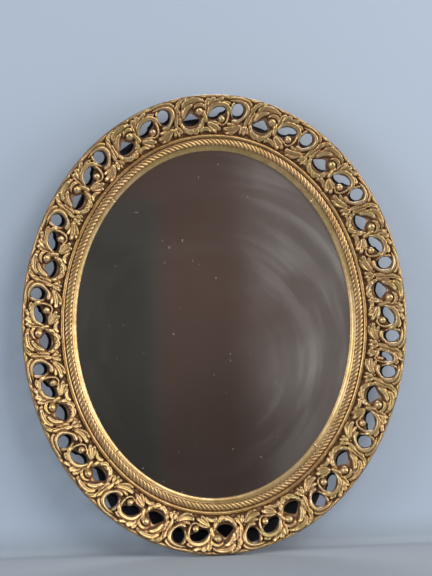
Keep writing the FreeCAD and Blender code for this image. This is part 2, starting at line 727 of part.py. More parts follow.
def make_hanging_ring():
    """Wire ring with one straight side, which lies in the strap; it hangs down out of use."""
    half, side, corner = size("sheet.ring_wide / 2"), size("sheet.ring_side"), size("sheet.ring_corner")
    flat = half - corner
    top = corner + side
    bevel = corner * (1 - math.sqrt(0.5))
    outline = [
        Part.LineSegment(Vector(-flat, 0), Vector(flat, 0)),
        Part.Arc(Vector(flat, 0), Vector(half - bevel, bevel), Vector(half, corner)),
        Part.LineSegment(Vector(half, corner), Vector(half, top)),
        Part.Arc(Vector(half, top), Vector(0, top + half), Vector(-half, top)),
        Part.LineSegment(Vector(-half, top), Vector(-half, corner)),
        Part.Arc(Vector(-half, corner), Vector(bevel - half, bevel), Vector(-flat, 0)),
    ]
    body = doc.addObject("PartDesign::Body", "hanging_ring_body")
    path = plane_sketch(body, "XZ_Plane", "ring_path")
    for edge in outline:
        path.addGeometry(edge)
    count = len(outline)
    for edge in range(count):
        joined = Sketcher.Constraint("Tangent", edge, 2, (edge + 1) % count, 1)
        path.addConstraint(joined)
    path.addConstraint(Sketcher.Constraint("PointOnObject", 0, 1, -1))
    path.addConstraint(Sketcher.Constraint("Symmetric", 0, 1, 0, 2, -2))
    path.addConstraint(Sketcher.Constraint("PointOnObject", 3, 3, -2))
    path.addConstraint(Sketcher.Constraint("Equal", 1, 5))
    dimension(path, Sketcher.Constraint("Radius", 1, corner), "corner", "sheet.ring_corner")
    dimension(path, Sketcher.Constraint("Radius", 3, half), "loop", "sheet.ring_wide / 2")
    dimension(path, Sketcher.Constraint("DistanceY", 2, 1, 2, 2, side), "side", "sheet.ring_side")
    section = plane_sketch(body, "YZ_Plane", "ring_wire")
    wire = section.addGeometry(Part.Circle(Vector(), Vector(0, 0, 1), size("sheet.wire_wide / 2")))
    section.addConstraint(Sketcher.Constraint("Coincident", wire, 3, -1, 1))
    thick = Sketcher.Constraint("Diameter", wire, size("sheet.wire_wide"))
    dimension(section, thick, "wire", "sheet.wire_wide")
    pipe = body.newObject("PartDesign::AdditivePipe", "ring_bent")
    pipe.Profile = section
    pipe.Spine = path
    pivot = spot(0, size("sheet.plate_out"), size("sheet.pivot_lift"))
    body.Placement = Placement(pivot, Rotation(BACK, 180))
    keep(body, "hanging_ring")


make_ring()
make_rope()
make_hoop()
make_border()
make_sheets()
screw = make_screw()
doc.recompute()
make_screws(screw)
for turn in BUTTON_TURNS:
    make_button(turn)
make_plate()
make_hanging_ring()
doc.recompute()

for item in doc.Objects:
    if "Invalid" in item.State or "Error" in item.State:
        raise SystemExit(f"{item.Name} failed: {item.State}")
for piece in pieces:
    if piece.Shape.isNull() or not piece.Shape.isValid():
        raise SystemExit(f"{piece.Label} has no valid shape")

os.makedirs("parts", exist_ok=True)
for piece in pieces:
    piece.Shape.exportStep(f"parts/{piece.Label}.step")
    print(f"{piece.Label}: {piece.Shape.Volume:.1f} mm3, {len(piece.Shape.Solids)} solids")
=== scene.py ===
# %% [markdown]
# # An oval mirror in a pierced gilt frame
#
# The construction model holds the wooden ring, the plain castings, the glass and the fittings on the
# back. This lesson adds what the eye sees: the carving of the border, the rope twist, the layer of
# gesso and gold leaf, the old glass and the light. Everything stays in the construction model's
# place, so that the two models can be laid over one another.

import math

import bpy
import numpy as np
from mathutils import Matrix, Vector


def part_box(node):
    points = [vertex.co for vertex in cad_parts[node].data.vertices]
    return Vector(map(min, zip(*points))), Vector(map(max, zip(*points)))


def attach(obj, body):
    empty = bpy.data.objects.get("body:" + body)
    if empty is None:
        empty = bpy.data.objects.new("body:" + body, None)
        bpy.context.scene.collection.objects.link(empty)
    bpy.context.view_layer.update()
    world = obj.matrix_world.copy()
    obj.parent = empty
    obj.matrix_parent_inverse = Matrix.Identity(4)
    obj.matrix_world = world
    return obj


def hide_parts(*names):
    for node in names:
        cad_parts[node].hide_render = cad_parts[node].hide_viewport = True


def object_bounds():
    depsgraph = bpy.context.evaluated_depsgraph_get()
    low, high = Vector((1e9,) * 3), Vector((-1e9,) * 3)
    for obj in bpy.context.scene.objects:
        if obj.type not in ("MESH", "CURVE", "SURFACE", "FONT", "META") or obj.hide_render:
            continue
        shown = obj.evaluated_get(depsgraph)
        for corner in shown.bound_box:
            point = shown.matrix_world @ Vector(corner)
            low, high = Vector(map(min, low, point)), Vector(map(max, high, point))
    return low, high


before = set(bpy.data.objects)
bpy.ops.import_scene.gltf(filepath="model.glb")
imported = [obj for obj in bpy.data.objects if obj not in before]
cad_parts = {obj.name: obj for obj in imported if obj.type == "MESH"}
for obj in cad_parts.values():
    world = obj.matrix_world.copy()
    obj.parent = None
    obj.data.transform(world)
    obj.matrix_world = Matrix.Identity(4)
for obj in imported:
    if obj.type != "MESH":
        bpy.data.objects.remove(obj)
cad_low, cad_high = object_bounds()
print("nodes in the frame:", len(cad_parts))

# %% [markdown]
# ## The oval that everything follows
#
# The sight opening is an ellipse, and each moulding runs at a fixed distance outside it. A place on
# the frame is therefore given by three numbers: how far round it lies from the top, how far out from
# the sight edge, and how far forward of the wall. This is how a frame maker would set it out too,
# with one template and a marking gauge. Lengths are in millimetres until a mesh is made.

# %% The oval
MM = 0.001
HALF_WIDE = 197.0
HALF_HIGH = 247.0


def place(turn, out, lift):
    """World places, in metres, for turns in radians clockwise from the top, seen from the front."""
    along_x = HALF_HIGH * np.sin(turn)
    along_z = HALF_WIDE * np.cos(turn)
    length = np.hypot(along_x, along_z)
    x = HALF_WIDE * np.sin(turn) + out * along_x / length
    z = HALF_HIGH * np.cos(turn) + out * along_z / length
    return np.stack([x, -lift + 0 * x, z], axis=-1) * MM


def measured_turns(out, count=7200):
    """Turns once round the oval, and the length reached at each on the line this far out."""
    turns = np.linspace(0, 2 * math.pi, count + 1)
    line = place(turns, out, 0.0) / MM
    steps = np.linalg.norm(np.diff(line, axis=0), axis=1)
    return turns, np.concatenate([[0.0], np.cumsum(steps)])


def turn_at(length, out):
    """The turn at which a length is reached; lengths may run past a whole round."""
    turns, lengths = measured_turns(out)
    rounds = np.floor(length / lengths[-1])
    return np.interp(length - rounds * lengths[-1], lengths, turns) + 2 * math.pi * rounds


low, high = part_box("mirror_glass")
print("glass %.0f x %.0f mm" % ((high.x - low.x) / MM, (high.z - low.z) / MM))

# %% [markdown]
# ## Camera
#
# The photograph was taken with a long lens from a little to the left of the mirror, about level with
# its middle. The lens gives the perspective, and the turn decides how much of the left hand inner
# edge is seen.

# %% Camera
AZIMUTH = math.radians(-9.0)
ELEVATION = math.radians(0.4)
ROLL = math.radians(-0.74)
DISTANCE = 2.191
AIM = Vector((-0.0009, -0.036, 0.051))

camera_data = bpy.data.cameras.new("camera")
camera_data.sensor_width = 36.0
camera_data.lens = 97.0
camera = bpy.data.objects.new("camera", camera_data)
bpy.context.collection.objects.link(camera)
bpy.context.scene.camera = camera

toward_camera = Vector(
    (
        math.sin(AZIMUTH) * math.cos(ELEVATION),
        -math.cos(AZIMUTH) * math.cos(ELEVATION),
        math.sin(ELEVATION),
    )
)
camera.location = Vector((0.0, AIM.y, 0.0)) + DISTANCE * toward_camera
look = (AIM - camera.location).to_track_quat("-Z", "Y").to_matrix().to_4x4()
camera.matrix_world = Matrix.Translation(camera.location) @ look @ Matrix.Rotation(ROLL, 4, "Z")
bpy.context.scene.view_settings.view_transform = "Standard"
print("camera at", tuple(round(value, 3) for value in camera.location))

# %% [markdown]
# ## Material helpers
#
# Every material here is worked out from formulas. These helpers add one node each, so that a
# material further down reads as a short list of layers.


# %% Material helpers
class Paint:
    """A material under construction."""

    def __init__(self, name):
        self.material = bpy.data.materials.new(name)
        self.material.use_nodes = True
        self.nodes = self.material.node_tree.nodes
        self.links = self.material.node_tree.links
        self.surface = self.nodes["Principled BSDF"]
        self.spot = self.nodes.new("ShaderNodeTexCoord").outputs["Object"]

    def feed(self, socket, value):
        """A value goes on the socket itself; the output of another node is linked to it."""
        if isinstance(value, bpy.types.NodeSocket):
            self.links.new(value, socket)
        elif isinstance(value, tuple) and len(value) == 3 and socket.type == "RGBA":
            socket.default_value = (*value, 1.0)
        else:
            socket.default_value = value

    def set(self, **values):
        for name, value in values.items():
            self.feed(self.surface.inputs[name.replace("_", " ")], value)

    def stretched(self, size):
        """Object coordinates scaled, so that a pattern can be drawn out in one direction."""
        mapping = self.nodes.new("ShaderNodeMapping")
        mapping.inputs["Scale"].default_value = size
        self.links.new(self.spot, mapping.inputs["Vector"])
        return mapping.outputs["Vector"]

    def noise(self, scale, detail=3.0, rough=0.5, warp=0.0, spot=None):
        node = self.nodes.new("ShaderNodeTexNoise")
        node.inputs["Scale"].default_value = scale
        node.inputs["Detail"].default_value = detail
        node.inputs["Roughness"].default_value = rough
        node.inputs["Distortion"].default_value = warp
        self.links.new(spot or self.spot, node.inputs["Vector"])
        return node.outputs["Fac"]

    def band(self, value, start, end, low=0.0, high=1.0, kind="SMOOTHSTEP"):
        """A change from low to high while the value runs from start to end."""
        node = self.nodes.new("ShaderNodeMapRange")
        node.interpolation_type = kind
        for name, number in (("From Min", start), ("From Max", end), ("To Min", low), ("To Max", high)):
            self.feed(node.inputs[name], number)
        self.feed(node.inputs["Value"], value)
        return node.outputs["Result"]

    def sum(self, operation, first, second):
        node = self.nodes.new("ShaderNodeMath")
        node.operation = operation
        self.feed(node.inputs[0], first)
        self.feed(node.inputs[1], second)
        return node.outputs["Value"]

    def mix(self, share, first, second):
        """A colour between two others. Colours are this node's third set of sockets."""
        node = self.nodes.new("ShaderNodeMix")
        node.data_type = "RGBA"
        self.feed(node.inputs[0], share)
        self.feed(node.inputs[6], first)
        self.feed(node.inputs[7], second)
        return node.outputs[2]

    def stored(self, name):
        """A number kept with each corner of the mesh."""
        node = self.nodes.new("ShaderNodeAttribute")
        node.attribute_name = name
        return node.outputs["Fac"]

    def dents(self, height, distance, strength=1.0):
        node = self.nodes.new("ShaderNodeBump")
        node.inputs["Strength"].default_value = strength
        node.inputs["Distance"].default_value = distance
        self.links.new(height, node.inputs["Height"])
        self.links.new(node.outputs["Normal"], self.surface.inputs["Normal"])


print("material helpers ready")

# %% [markdown]
# ## Backdrop, dark room and lamps
#
# The mirror stands on a sweep of blue grey paper that rises close behind it. The floor is painted in
# a darker copy of the paper colour: painted shade on the floor. Seen from its far side the paper is
# clear and lets light through, so that the back of the mirror can be looked at as well. A near black
# sheet close behind the border is painted shade: it stands for the deep shade seen through the eyes
# at the bottom and through the inner part of the eyes at the top. A brown wall with a dark doorway,
# far in front, glows with its own painted colours and is seen only in reflections: it is the painted
# reflection that the old glass shows. Soft lamps stand high at the right, at the far right as a
# window would, at the left and, for the back, behind.

# %% Backdrop, dark room and lamps
FLOOR = cad_low.z - 0.001
SWEEP_BEHIND = 0.014
SWEEP_RADIUS = 0.012
SWEEP_FRONT = 0.55
SWEEP_REACH = 3.5
PAPER = (0.50, 0.58, 0.69)
# The same paper in a darker copy for the floor: painted shade on the floor.
SHADED_FLOOR_PAPER = (0.40, 0.45, 0.51)


def mesh_object(name, corners, faces, smooth=True):
    mesh = bpy.data.meshes.new(name)
    mesh.from_pydata(corners, [], faces)
    if smooth:
        mesh.shade_smooth()
    piece = bpy.data.objects.new(name, mesh)
    bpy.context.collection.objects.link(piece)
    return piece


sweep_line = [(-SWEEP_FRONT, FLOOR)]
for angle in np.linspace(0, math.pi / 2, 17):
    across = SWEEP_BEHIND - SWEEP_RADIUS + SWEEP_RADIUS * math.sin(angle)
    sweep_line.append((across, FLOOR + SWEEP_RADIUS * (1 - math.cos(angle))))
sweep_line.append((SWEEP_BEHIND, FLOOR + SWEEP_REACH))
sweep_corners = [(side, y, z) for y, z in sweep_line for side in (-SWEEP_REACH, SWEEP_REACH)]
sweep_faces = [(2 * i, 2 * i + 1, 2 * i + 3, 2 * i + 2) for i in range(len(sweep_line) - 1)]
sweep = mesh_object("paper_sweep", sweep_corners, sweep_faces)


def one_sided(paint, through):
    """Clear from the far side; it also lets a share of the light through that the camera doesn't see."""
    clear = paint.nodes.new("ShaderNodeBsdfTransparent")
    sided = paint.nodes.new("ShaderNodeMixShader")
    far_side = paint.nodes.new("ShaderNodeNewGeometry").outputs["Backfacing"]
    seen = paint.nodes.new("ShaderNodeLightPath").outputs["Is Camera Ray"]
    unseen = paint.sum("MULTIPLY", paint.sum("SUBTRACT", 1.0, seen), through)
    paint.feed(sided.inputs[0], paint.sum("MAXIMUM", far_side, unseen))
    paint.links.new(paint.surface.outputs["BSDF"], sided.inputs[1])
    paint.links.new(clear.outputs["BSDF"], sided.inputs[2])
    paint.links.new(sided.outputs["Shader"], paint.nodes["Material Output"].inputs["Surface"])


paper = Paint("paper")
stage_height = paper.nodes.new("ShaderNodeSeparateXYZ")
paper.links.new(paper.spot, stage_height.inputs["Vector"])
risen = paper.band(stage_height.outputs["Z"], FLOOR, FLOOR + 0.05)
# Darker on the floor and lighter where the paper rises: painted shade on the floor.
paper.set(Base_Color=paper.mix(risen, SHADED_FLOOR_PAPER, PAPER), Roughness=0.9)
one_sided(paper, risen)
sweep.data.materials.append(paper.material)

# A near black sheet just behind the border: painted shade. It lies under the whole border at the bottom
# and under the inner part of the eyes at the top.
SHADE_SHEET_BEHIND = 2.0
SHADE_SHEET_IN = 15.0
SHADE_SHEET_DEGREES = [0, 45, 70, 133, 150, 210, 228, 290, 315, 360]
SHADE_SHEET_OUTS = [49, 46, 34, 34, 73, 73, 34, 34, 46, 49]
shade_sheet_degrees = np.linspace(0, 360, 181)
shade_sheet_outs = np.interp(shade_sheet_degrees, SHADE_SHEET_DEGREES, SHADE_SHEET_OUTS)
shade_sheet_edges = [place(np.radians(shade_sheet_degrees), out, -SHADE_SHEET_BEHIND) for out in (SHADE_SHEET_IN, shade_sheet_outs)]
shade_sheet_corners = np.stack(shade_sheet_edges, axis=1).reshape(-1, 3).tolist()
shade_sheet_faces = [(2 * i, 2 * i + 2, 2 * i + 3, 2 * i + 1) for i in range(len(shade_sheet_degrees) - 1)]
shade_sheet = mesh_object("painted_shade_sheet", shade_sheet_corners, shade_sheet_faces)
# Seen only by the camera and only from the front, it blocks no light: painted shade.
black = Paint("painted_shade_sheet")
black.set(Base_Color=(0.02, 0.022, 0.03), Roughness=1.0)
one_sided(black, 1.0)
shade_sheet.data.materials.append(black.material)

ROOM_AWAY = 4.6
ROOM_LEFT = -1.2
ROOM_RIGHT = 2.8
ROOM_HALF = 2.2
# Glow colours of a painted reflection.
BROWN_WALL_GLOW = (0.078, 0.047, 0.038)
DOOR_FRAME_GLOW = (0.056, 0.053, 0.049)
DOORWAY_GLOW = (0.037, 0.037, 0.033)
room_corners = [
    (ROOM_LEFT, -ROOM_AWAY, -ROOM_HALF),
    (ROOM_RIGHT, -ROOM_AWAY, -ROOM_HALF),
    (ROOM_RIGHT, -ROOM_AWAY, ROOM_HALF),
    (ROOM_LEFT, -ROOM_AWAY, ROOM_HALF),
]
room = mesh_object("glowing_room_reflection", room_corners, [(0, 3, 2, 1)])
dark = Paint("glowing_room_reflection")
across = dark.nodes.new("ShaderNodeSeparateXYZ")
dark.links.new(dark.spot, across.inputs["Vector"])


def within(edges):
    """1 inside the edges, each given by its axis and the places where it starts and is complete."""
    share = 1.0
    for axis, start, end in edges:
        share = dark.sum("MULTIPLY", share, dark.band(across.outputs[axis], start, end))
    return share


framed = within([("X", 0.50, 0.46), ("Z", 0.55, 0.50)])
opening = within([("X", 0.45, 0.42), ("X", 0.14, 0.19), ("Z", 0.33, 0.29)])
# Glow colours of the wall, its door frame and the doorway: a painted reflection. The glow is darker
# towards the bottom.
tones = dark.mix(opening, dark.mix(framed, BROWN_WALL_GLOW, DOOR_FRAME_GLOW), DOORWAY_GLOW)
dim = dark.band(across.outputs["Z"], -0.9, 0.3, 0.55, 1.0)
patchy = dark.band(dark.noise(1.6, detail=3.0), 0.3, 0.7, 0.8, 1.15)
dark.set(Base_Color=(0.0, 0.0, 0.0), Roughness=1.0)
dark.set(Emission_Color=tones, Emission_Strength=dark.sum("MULTIPLY", dim, patchy))
room.data.materials.append(dark.material)
room.visible_camera = False
room.visible_diffuse = False
room.visible_shadow = False

world = bpy.data.worlds.new("soft_room")
world.use_nodes = True
world.node_tree.nodes["Background"].inputs["Color"].default_value = (0.84, 0.90, 1.0, 1.0)
world.node_tree.nodes["Background"].inputs["Strength"].default_value = 0.36
bpy.context.scene.world = world


def lamp(name, spot, size, power, colour):
    """A round soft lamp aimed at the middle of the mirror."""
    data = bpy.data.lights.new(name, "AREA")
    data.shape = "DISK"
    data.size = size
    data.energy = power
    data.color = colour
    made = bpy.data.objects.new(name, data)
    made.location = spot
    made.rotation_euler = (-Vector(spot)).to_track_quat("-Z", "Y").to_euler()
    bpy.context.collection.objects.link(made)


lamp("high_right", (1.0, -2.0, 1.35), 1.5, 22, (1.0, 0.97, 0.92))
lamp("window_right", (2.1, -1.1, 0.35), 1.4, 18, (1.0, 0.97, 0.94))
lamp("left", (-2.1, -1.4, 0.5), 1.4, 20, (0.94, 0.97, 1.0))
lamp("behind", (0.5, 1.8, 1.5), 1.4, 14, (1.0, 0.98, 0.95))
print("stage and lamps ready")

# %% [markdown]
# ## Old gilding
#
# Water gilding is laid over gesso and a red clay called bole. In time the leaf wears thin on the high
# places and shows the clay, while wax and dust darken the hollows. Each carved mesh stores a number
# called relief, above zero on crests and below zero in hollows, and the material uses it to decide
# between gold, clay and dirt, and to paint light and shade: cream on the crests is a painted highlight,
# the duller leaf and near black wax in the hollows are partly dirt and partly painted shade, and the
# walls of the eyes are painted near black as painted shade. Noise breaks up the edges between them.
# Faces that look to the wall were never gilded and stay bare.

# %% Old gilding
# Cream for the highest crests: a painted highlight.
CREAM_HIGHLIGHT = (0.93, 0.74, 0.46)
PALE_LEAF = (0.80, 0.535, 0.245)
OLIVE_LEAF = (0.72, 0.52, 0.21)
# Duller leaf for the low places: partly its own tone, partly painted shade.
DULL_LEAF_AND_SHADE = (0.47, 0.265, 0.105)
RED_CLAY = (0.38, 0.16, 0.085)
# Near black wax for the hollows: partly dirt, partly painted shade.
WAX_AND_SHADE = (0.05, 0.028, 0.013)
SHADE = (0.012, 0.010, 0.010)
BARE_BACK = (0.13, 0.085, 0.05)


def gilding(name, relief=None, pale=PALE_LEAF, dull_and_shade=DULL_LEAF_AND_SHADE, worn=0.5, dirt_and_shade=0.5):
    """Gold leaf over clay, with painted highlight and shade; worn and dirt run from 0 to 1."""
    paint = Paint(name)
    patches = paint.noise(38.0, detail=4.0, rough=0.6, warp=0.4)
    specks = paint.noise(420.0, detail=2.0, rough=0.6)
    tone = paint.sum("ADD", paint.sum("MULTIPLY", patches, 0.75), paint.sum("MULTIPLY", specks, 0.25))
    rubbed = paint.noise(85.0, detail=5.0, rough=0.65, warp=0.8)
    height = 0.1 if relief is None else paint.stored(relief)
    uneven = paint.sum("ADD", height, paint.sum("MULTIPLY", paint.sum("SUBTRACT", rubbed, 0.5), 0.9))
    clean = paint.sum("ADD", uneven, paint.sum("SUBTRACT", tone, 0.5))
    leaf = paint.mix(paint.band(paint.noise(24.0, detail=2.0), 0.4, 0.62), pale, OLIVE_LEAF)
    # Duller leaf where the relief is low: partly random tone, partly painted shade in the hollows.
    colour = paint.mix(paint.band(clean, -0.25, 0.3), dull_and_shade, leaf)
    # Cream on the highest crests: a painted highlight.
    colour = paint.mix(paint.band(clean, 0.5, 1.1, 0.0, 0.7), colour, CREAM_HIGHLIGHT)
    crest = paint.sum("ADD", rubbed, paint.sum("MULTIPLY", height, 0.07))
    bare = paint.band(crest, 0.70 - 0.14 * worn, 0.79 - 0.14 * worn)
    glaze = paint.band(uneven, 0.0, -0.5, 0.0, 0.3 + 0.4 * dirt_and_shade)
    clay = paint.sum("MAXIMUM", paint.sum("MULTIPLY", bare, 0.75), glaze)
    colour = paint.mix(clay, colour, RED_CLAY)
    # Wax darkens the hollows: partly dirt, partly painted shade.
    grime_and_shade = paint.band(uneven, -0.2, -0.85, 0.0, 0.35 + 0.6 * dirt_and_shade)
    colour = paint.mix(grime_and_shade, colour, WAX_AND_SHADE)
    # Relief below -1.2, given to the eye walls, is painted near black as painted shade.
    colour = paint.mix(paint.band(height, -1.2, -1.7), colour, SHADE)
    normal = paint.nodes.new("ShaderNodeNewGeometry").outputs["True Normal"]
    facing = paint.nodes.new("ShaderNodeSeparateXYZ")
    paint.links.new(normal, facing.inputs["Vector"])
    colour = paint.mix(paint.band(facing.outputs["Y"], 0.55, 0.75), colour, BARE_BACK)
    shine = paint.sum("MULTIPLY", paint.band(grime_and_shade, 0.8, 0.0), paint.band(clay, 1.0, 0.0, 0.3, 1.0))
    paint.set(
        Base_Color=colour,
        Metallic=paint.sum("MULTIPLY", shine, 0.95),
        Roughness=paint.band(shine, 0.0, 1.0, 0.70, 0.38),
        # Turned down where the eye walls are painted near black as painted shade.
        Specular_IOR_Level=paint.band(height, -1.2, -1.7, 0.5, 0.02),
        Coat_Weight=paint.sum("MULTIPLY", shine, 0.35),
        Coat_Roughness=0.3,
    )
    paint.dents(tone, 0.0006, 0.35)
    return paint.material


# The duller moulding leaf is partly its own tone, partly painted shade.
MOULDING_PALE = (0.84, 0.59, 0.29)
MOULDING_DULL_AND_SHADE = (0.52, 0.30, 0.115)
carved_gold = gilding("carved_gold", relief="relief", worn=0.65, dirt_and_shade=0.7)
rope_gold = gilding("rope_gold", "relief", MOULDING_PALE, MOULDING_DULL_AND_SHADE, worn=0.25, dirt_and_shade=0.8)
plain_gold = gilding("plain_gold", "relief", MOULDING_PALE, MOULDING_DULL_AND_SHADE, worn=0.3, dirt_and_shade=0.5)
hoop_gold = gilding("hoop_gold", worn=0.6, dirt_and_shade=0.9)
print("gilding ready")

# %% [markdown]
# ## The border: where a repeat lies
#
# The pierced border is made of castings pressed in one mould and set end to end round the ring.
# Sixteen are whole; the last gap was too short for another, so one casting was cut down to fit. A
# place on a casting is given as a share of the repeat, with 1 at the middle of its round eye, and the
# distance out from the sight edge.

# %% Where a repeat lies
BORDER_MIDDLE = 46.0
REPEATS = 16
MAKE_UP_SHARE = 0.49
FIRST_EYE = 0.2915
CASTING_END = 1.2
BORDER_IN = 23.0
BORDER_OUT = 77.0
HOOP_IN = 73.0
RING_OUT = 36.0
SEAT_LIFT = 22.0
HOOP_BACK = 33.0
HOOP_FRONT = 42.0
FRONT_LOW = 28.5
FRONT_HIGH = 46.0
EYE_LEAN = 5.2
GRID = 0.75

border_length = measured_turns(BORDER_MIDDLE)[1][-1]
PITCH = border_length / (REPEATS + MAKE_UP_SHARE)


def front_lift(out):
    """The slope on which the carving stands."""
    return np.interp(out, [BORDER_IN, HOOP_IN, BORDER_OUT], [FRONT_LOW, FRONT_HIGH, FRONT_HIGH])


def back_lift(out):
    """The underside: flat on the ring, sloped across the gap and flat on the hoop."""
    edge = HOOP_IN - GRID / 2
    return np.interp(
        out,
        [BORDER_IN, RING_OUT, edge, HOOP_IN, BORDER_OUT],
        [SEAT_LIFT, SEAT_LIFT, HOOP_BACK, HOOP_FRONT, HOOP_FRONT],
    )


def back_shift(out):
    """The eyes are pierced square to the slope, so each comes out further from the glass at the back."""
    outs = [BORDER_IN, RING_OUT - 3.0, RING_OUT, HOOP_IN - 9.0, HOOP_IN, BORDER_OUT]
    return np.interp(out, outs, [0.0, 0.0, EYE_LEAN, EYE_LEAN, 0.0, 0.0])


print("one repeat is %.1f mm long" % PITCH)

# %% [markdown]
# ## The border: lines of the carving
#
# The ornament is a running scroll. A stem leaves a small calyx, circles the round eye and throws off
# leaves; a second and third scroll end in a ball. Each form is drawn as one smooth line with a width
# on its left and right, a height, and sometimes a vein and lobes, the way a carver first sets in the
# main lines and then models each leaf. Later lines lie over earlier ones.


# %% Lines of the carving
def curve_through(points, closed=False, steps=14):
    """Points along a smooth curve through the given ones."""
    rows = np.array(points, float)
    if closed:
        rows = np.vstack([rows[-1:], rows, rows[:2]])
    else:
        rows = np.vstack([2 * rows[0] - rows[1], rows, 2 * rows[-1] - rows[-2]])
    share = np.linspace(0, 1, steps, endpoint=False)[:, None]
    spans = []
    for before, start, end, after in zip(rows, rows[1:], rows[2:], rows[3:]):
        bend = 2 * before - 5 * start + 4 * end - after
        twist = 3 * (start - end) + after - before
        spans.append(start + 0.5 * share * (end - before + share * (bend + share * twist)))
    if not closed:
        spans.append(rows[-2:-1])
    return np.vstack(spans)


def to_line(points, closed=False):
    """A smooth curve through rows of share, out and widths; the shares become millimetres."""
    return curve_through([(row[0] * PITCH, *row[1:]) for row in points], closed)


def nearest(line, along, out, closed=False):
    """Distance to the line, above zero on its left, the share reached along it, and the row there."""
    middle = (line[:, 0].max() + line[:, 0].min()) / 2
    along = (along - middle + PITCH / 2) % PITCH - PITCH / 2 + middle
    steps = np.gradient(line, axis=0)
    if closed:
        steps = (np.roll(line, -1, axis=0) - np.roll(line, 1, axis=0)) / 2
    gap = (along[..., None] - line[:, 0]) ** 2 + (out[..., None] - line[:, 1]) ** 2
    index = gap.argmin(axis=-1)
    step = steps[index]
    away_x = along - line[index, 0]
    away_y = out - line[index, 1]
    slide = (away_x * step[..., 0] + away_y * step[..., 1]) / (step[..., 0] ** 2 + step[..., 1] ** 2)
    reach = 0.7
    least = np.where((index == 0) & (not closed), 0, -reach)
    most = np.where((index == len(line) - 1) & (not closed), 0, reach)
    slide = np.clip(slide, least, most)
    away_x = away_x - slide * step[..., 0]
    away_y = away_y - slide * step[..., 1]
    side = np.sign(step[..., 0] * away_y - step[..., 1] * away_x)
    share = (index + slide) / (len(line) - 1)
    return side * np.hypot(away_x, away_y), share, line[index] + slide[..., None] * step


ROUND_EYE = [
    *((0.916, 55), (0.93, 62.5), (0.968, 66.4), (1.02, 66), (1.06, 61.8)),
    *((1.074, 55.4), (1.06, 49.6), (1.015, 46.4), (0.965, 46.6), (0.93, 50)),
]
BEAN_EYE = [
    *((0.594, 47.5), (0.64, 54.4), (0.71, 59.2), (0.785, 59.8), (0.832, 57), (0.835, 53)),
    *((0.8, 50), (0.76, 48.2), (0.737, 45), (0.7, 43), (0.65, 42.4), (0.61, 44)),
]
TEAR_EYE = [
    *((0.235, 42), (0.25, 44.6), (0.29, 48.4), (0.335, 52.2), (0.368, 53.2), (0.402, 50.6)),
    *((0.442, 47), (0.474, 42.6), (0.446, 38.2), (0.39, 35.9), (0.32, 36), (0.264, 38.2)),
]
EYES = [to_line(points, closed=True) for points in (ROUND_EYE, BEAN_EYE, TEAR_EYE)]


def form(rows, height, start=0.12, end=0.2, vein=0.0, base=0.6, crown=0.5, tip=0.0, trench=1.0):
    """One form of the carving. Each row gives share, out, and the widths left and right of the line."""
    return dict(
        line=to_line(rows),
        height=height,
        start=start,
        end=end,
        vein=vein,
        base=base,
        crown=crown,
        tip=tip,
        trench=trench,
    )


def lobes_of(leaf, height, widen=1.15, trench=0.75):
    """The lobes of one leaf: cupped, raised at their tips and parted only by shallow cuts."""
    made = []
    for lobe in leaf:
        rows = [(share, out, left * widen, right * widen) for share, out, left, right in lobe]
        made.append(form(rows, height, end=0.15, vein=0.3, crown=0.4, tip=0.3, trench=trench))
    return made


FOOT_ARCH = [
    *((0.2, 44, 2.5, 2.5), (0.215, 36, 3.5, 3.5), (0.255, 30.5, 4, 4)),
    *((0.32, 27.5, 5, 3.6), (0.4, 27.6, 5, 3.4), (0.46, 30.5, 4.4, 3.4)),
    *((0.5, 36, 4, 3.4), (0.53, 43, 3.4, 3.2), (0.545, 50, 2.6, 2.6)),
]
FOOT_LOBES = [
    [(0.235, 35, 2, 2), (0.275, 29.6, 3.2, 3.2), (0.325, 27.6, 3.4, 3.4), (0.357, 31, 2.4, 2.4)],
    [(0.35, 26, 2, 2), (0.4, 26.6, 3.2, 3.2), (0.436, 29.6, 3, 3), (0.444, 33.6, 2, 2)],
    [(0.455, 27.4, 1.8, 1.8), (0.49, 31.4, 2.6, 2.6), (0.506, 36.5, 2.4, 2.4), (0.502, 40.5, 1.8, 1.8)],
]
LOW_LEAF = [
    *((0.468, 25, 1.6, 1.6), (0.5, 28.4, 2.6, 2.4), (0.55, 30, 3.2, 2.8)),
    *((0.605, 28.4, 3, 2.6), (0.65, 24.6, 1.8, 1.8)),
]
TURNED_LEAF = [
    [(0.575, 37, 1.4, 1.4), (0.62, 33, 2.2, 2.2), (0.672, 28.2, 3.2, 3.2), (0.728, 24.4, 2.2, 2.2)],
    [(0.58, 39, 1.4, 1.4), (0.645, 38.8, 2.2, 2.2), (0.708, 37.2, 2.8, 2.8), (0.757, 34.6, 1.8, 1.8)],
    [(0.575, 38, 1.6, 1.6), (0.64, 35.6, 2.4, 2.4), (0.716, 31.6, 3.4, 3.4), (0.79, 28.4, 2.2, 2.2)],
]
EYE_LEAF = [
    *((1.1, 40.5, 2.6, 2.6), (1.03, 34.5, 5, 5), (0.95, 30.5, 6.5, 6.5)),
    *((0.87, 28.5, 6, 6), (0.82, 27.5, 3, 3)),
]
EYE_LEAF_LOBES = [
    [(1.05, 39, 1.6, 1.6), (0.985, 37, 2.2, 2.2), (0.92, 36.4, 2.8, 2.8), (0.858, 37.6, 1.8, 1.8)],
    [
        *((1.085, 38, 2, 2), (1.025, 31.4, 2.8, 2.8), (0.965, 26.8, 3.4, 3.4)),
        *((0.9, 24.4, 3.2, 3.2), (0.85, 24.2, 2, 2)),
    ],
    [
        *((1.07, 38.4, 1.8, 1.8), (1.0, 33.6, 2.6, 2.6), (0.93, 31, 3.3, 3.3)),
        *((0.86, 30.2, 3.2, 3.2), (0.806, 31, 2, 2)),
    ],
]
